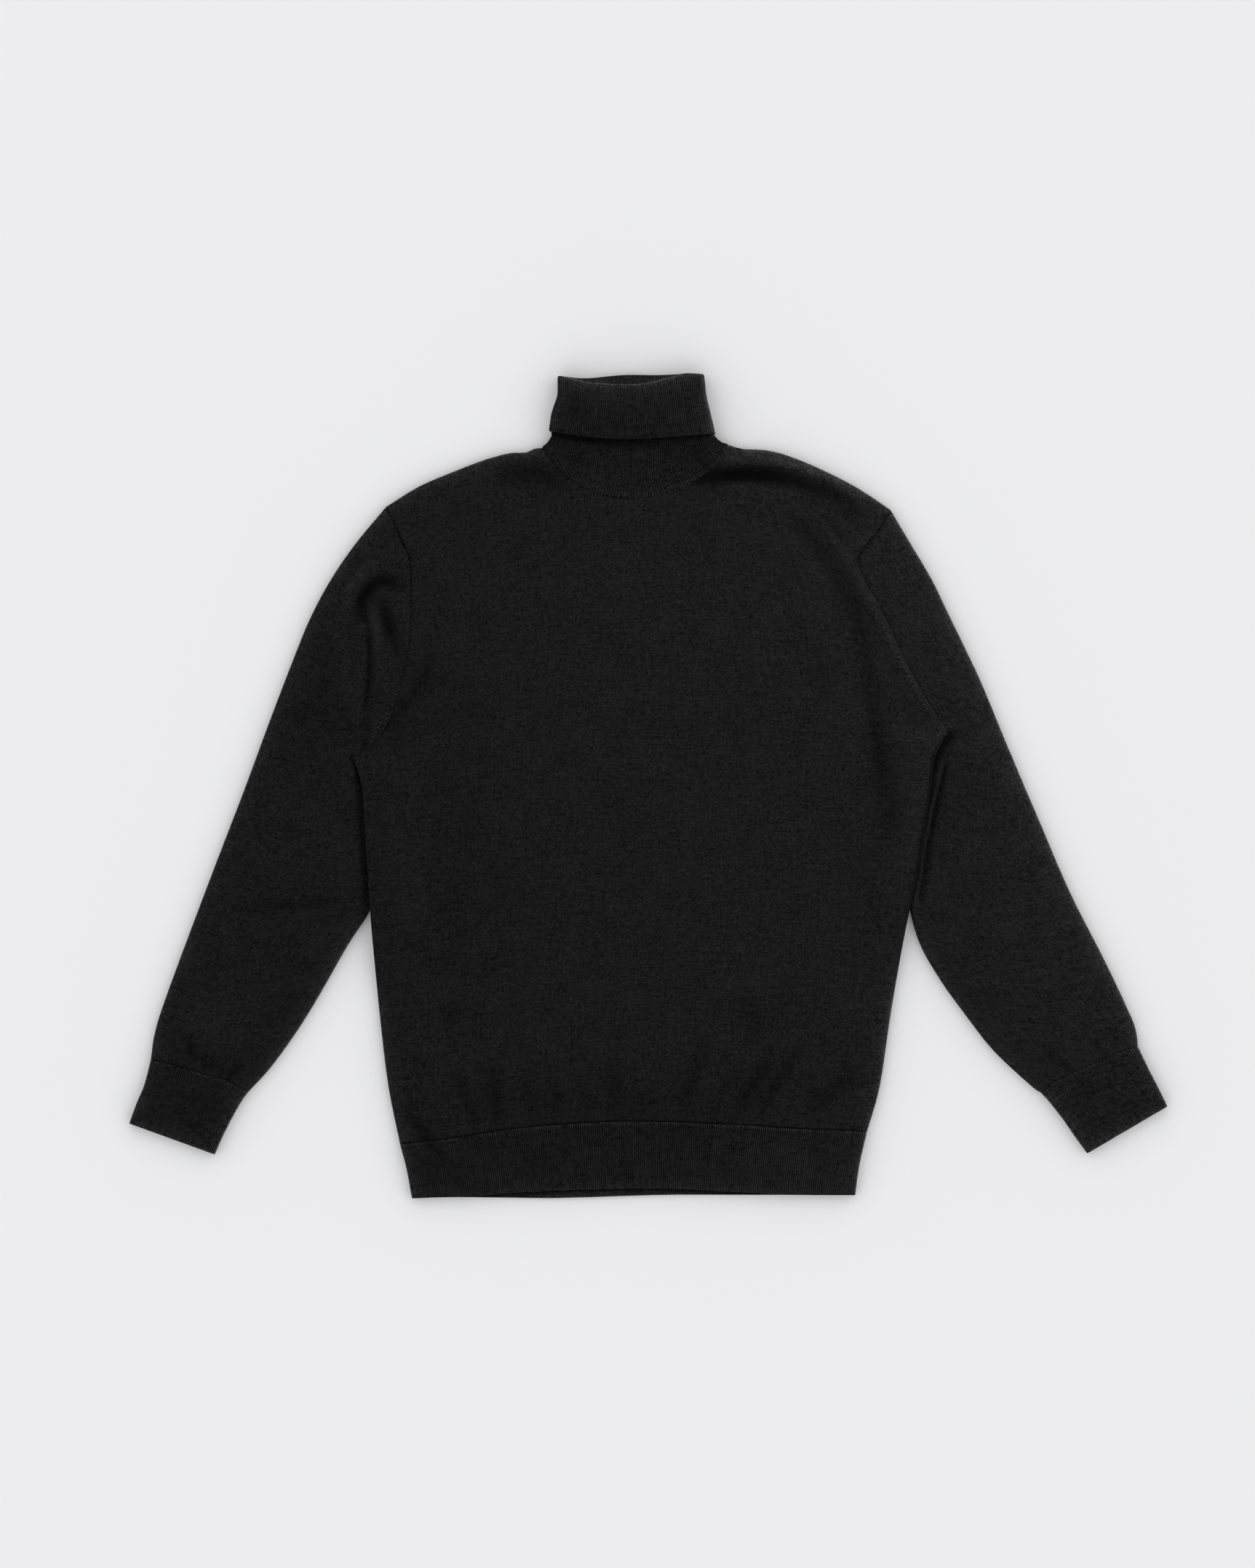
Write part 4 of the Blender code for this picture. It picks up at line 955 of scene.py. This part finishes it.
# The yarn's unevenness: scale, detail, roughness and share of the noise, and the share of
# each stitch, of each run along a course and of each run up a wale
yarnLook = {"noise": ((300, 3.0, 0.65, 2.6), (34, 2.0, 0.5, 0.55)),
            "cells": (((1, 1, 1), 1.0), ((0.14, 1, 1), 0.45), ((1, 0.1, 1), 0.35)),
            # lowest tone; base and strength of the painted shade between loops; strength of the painted
            # shading in folds and beside seams
            "darkest": 0.15, "raised": 1.1, "gap": -0.35, "paintedshading": 0.24}


def yarnToneAndPaintedLightGroup():
    # uneven dye of the yarn as a colour, times painted shade between loops, a painted rim highlight along
    # free edges and painted shading in folds and beside seams
    tree, given, put = makeGroup(
        "yarn tone and painted light", {"Place": "Vector", "Stitch": "Vector", "Colour": "Color", "Mottle": "Float",
                       "GapShade": "Float", "Paintedrim": "Float", "Paintedshading": "Float"}, {"Colour": "Color"})
    uneven = 0.0
    for scale, detail, rough, share in yarnLook["noise"]:
        noise = calc(tree, "SUBTRACT", noiseMask(tree, given["Place"], scale, detail, rough), 0.5)
        uneven = calc(tree, "MULTIPLY_ADD", noise, share, uneven)
    for stretch, share in yarnLook["cells"]:
        uneven = calc(tree, "MULTIPLY_ADD", stitchCell(tree, given["Stitch"], stretch), share, uneven)
    light = calc(tree, "MULTIPLY_ADD", uneven, given["Mottle"], 1.0)
    light = calc(tree, "MAXIMUM", light, yarnLook["darkest"])
    raised = calc(tree, "MULTIPLY_ADD", given["GapShade"], yarnLook["gap"], yarnLook["raised"])
    folded = calc(tree, "EXPONENT", calc(tree, "MULTIPLY", given["Paintedshading"], yarnLook["paintedshading"]))
    # the colour is multiplied by painted shade between loops, a painted rim highlight and painted shading
    for part in (raised, calc(tree, "ADD", 1.0, given["Paintedrim"]), folded):
        light = calc(tree, "MULTIPLY", light, part)
    shade = tree.nodes.new("ShaderNodeVectorMath")
    shade.operation = "SCALE"
    tree.links.new(given["Colour"], shade.inputs[0])
    tree.links.new(light, shade.inputs["Scale"])
    tree.links.new(shade.outputs[0], put["Colour"])
    return tree


jerseyLook = {"colour": (0.00515, 0.00515, 0.00525), "mottle": 0.75,
              "loopDepth": 0.30, "uneven": 0.35, "furrowShade": 0.0,
              "roughness": 0.85, "specular": 0.01, "sheen": 0.012, "sheenRoughness": 0.45}
# the rib's colour is a little paler than the jersey's: painted light that offsets the shade between its ribs
ribLook = {**jerseyLook, "colour": (0.00645, 0.00645, 0.00655),
           "loopDepth": 0.25, "uneven": 0.15, "furrowShade": 1.7}


def makeKnit(name, look, loops, yarn):
    material = bpy.data.materials.new(name)
    material.use_nodes = True
    tree = material.node_tree
    shader = tree.nodes["Principled BSDF"]
    for socket, value in (("Roughness", "roughness"), ("Specular IOR Level", "specular"),
                          ("Sheen Weight", "sheen"), ("Sheen Roughness", "sheenRoughness")):
        shader.inputs[socket].default_value = look[value]
    places = tree.nodes.new("ShaderNodeTexCoord")
    knit, shade = tree.nodes.new("ShaderNodeGroup"), tree.nodes.new("ShaderNodeGroup")
    knit.node_tree, shade.node_tree = loops, yarn
    knit.inputs["Uneven"].default_value = look["uneven"]
    knit.inputs["FurrowShade"].default_value = look["furrowShade"]
    shade.inputs["Colour"].default_value = (*look["colour"], 1)
    shade.inputs["Mottle"].default_value = look["mottle"]
    bump = tree.nodes.new("ShaderNodeBump")
    bump.inputs["Distance"].default_value = look["loopDepth"] * mm
    bump.inputs["Strength"].default_value = 1.0
    for mask in ("Paintedrim", "Paintedshading"):
        drawn = tree.nodes.new("ShaderNodeAttribute")
        drawn.attribute_name = mask.lower()
        tree.links.new(drawn.outputs["Fac"], shade.inputs[mask])
    for node, output, other, socket in (
            (places, "UV", knit, "Place"), (places, "UV", shade, "Stitch"),
            (places, "Object", shade, "Place"), (knit, "GapShade", shade, "GapShade"), (knit, "Height", bump, "Height"),
            (shade, "Colour", shader, "Base Color"), (bump, "Normal", shader, "Normal")):
        tree.links.new(node.outputs[output], other.inputs[socket])
    return material


bodyPlan, bodyAcross, bodyTop = makeBody()
print("sweater: front and back")
makeSleeve("left", leftArmhole, leftOuter, leftInner, leftCuff, leftShoulder)
makeSleeve("right", rightArmhole, rightOuter, rightInner, rightCuff, rightShoulder)
print("sweater: sleeves and cuffs")
makeHems(bodyPlan, bodyAcross, bodyTop)
makeCollar(bodyPlan, bodyAcross, bodyTop)
print("sweater: hem and collar")

loopsGroup, yarnGroup = knitLoopsGroup(), yarnToneAndPaintedLightGroup()
jersey = makeKnit("black jersey", jerseyLook, loopsGroup, yarnGroup)
rib = makeKnit("black rib", ribLook, loopsGroup, yarnGroup)
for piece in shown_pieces():
    if piece.get("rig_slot"):
        piece.data.materials.append(jersey if piece["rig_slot"] == "jersey" else rib)
print("sweater: cloth finished")

# Floor, light and camera
studio = {"floor": (0.838, 0.838, 0.852), "floorSide": 6.0, "floorDrop": 0.0002,
          "zenith": 0.1, "horizon": 9.1, "fade": 3.0,
          # softboxes over the garment: place, size and power
          "softboxes": [((1.7, 1.15, 0.95), 0.9, 119.0), ((-1.7, -1.4, 1.0), 0.9, 13.0)],
          "cameraHeight": 2.85, "lens": 70.0, "sensor": 36.0, "farClip": 50, "middle": (-0.0194, 0.0020)}


def lightOnly(lamp, name, receivers):
    # the lamp falls on these objects alone
    group = bpy.data.collections.new(name)
    for receiver in receivers:
        group.objects.link(receiver)
    lamp.light_linking.receiver_collection = group


def makeFloor():
    mesh = bpy.data.meshes.new("floor")
    side, low = studio["floorSide"], -studio["floorDrop"]
    mesh.from_pydata([(-side, -side, low), (side, -side, low), (side, side, low), (-side, side, low)],
                     [], [(0, 1, 2, 3)])
    pale = bpy.data.materials.new("pale floor")
    pale.use_nodes = True
    shader = pale.node_tree.nodes["Principled BSDF"]
    shader.inputs["Base Color"].default_value = (*studio["floor"], 1)
    shader.inputs["Roughness"].default_value = 1.0
    shader.inputs["Specular IOR Level"].default_value = 0.0
    mesh.materials.append(pale)
    return putIn("floor", mesh)


def makeStudio():
    floor = makeFloor()
    world = bpy.data.worlds.new("studio")
    world.use_nodes = True
    # a white room, far brighter low down all round than overhead
    tree = world.node_tree
    sky = tree.nodes["Background"]
    sky.inputs["Color"].default_value = (1, 1, 1, 1)
    direction = tree.nodes.new("ShaderNodeSeparateXYZ")
    tree.links.new(tree.nodes.new("ShaderNodeTexCoord").outputs["Generated"], direction.inputs[0])
    low = calc(tree, "SUBTRACT", 1.0, calc(tree, "ABSOLUTE", direction.outputs["Z"]))
    low = calc(tree, "POWER", low, studio["fade"])
    glow = calc(tree, "MULTIPLY_ADD", low, studio["horizon"], studio["zenith"])
    tree.links.new(glow, sky.inputs["Strength"])
    bpy.context.scene.world = world

    garment = [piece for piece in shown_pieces() if piece.get("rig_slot")]
    for number, (place, size, power) in enumerate(studio["softboxes"], 1):
        lamp = bpy.data.lights.new(f"softbox {number}", "AREA")
        lamp.shape, lamp.size, lamp.energy = "DISK", size, power
        box = putIn(lamp.name, lamp)
        box.location = place
        box.rotation_euler = Vector(place).to_track_quat("Z", "Y").to_euler()
        lightOnly(box, f"lit by softbox {number}", garment)

    data = bpy.data.cameras.new("camera above")
    data.lens, data.sensor_width, data.clip_end = studio["lens"], studio["sensor"], studio["farClip"]
    camera = putIn("camera above", data)
    camera.location = (*studio["middle"], studio["cameraHeight"])
    bpy.context.scene.camera = camera
    bpy.context.scene.view_settings.view_transform = "Standard"


makeStudio()
print("sweater: done")
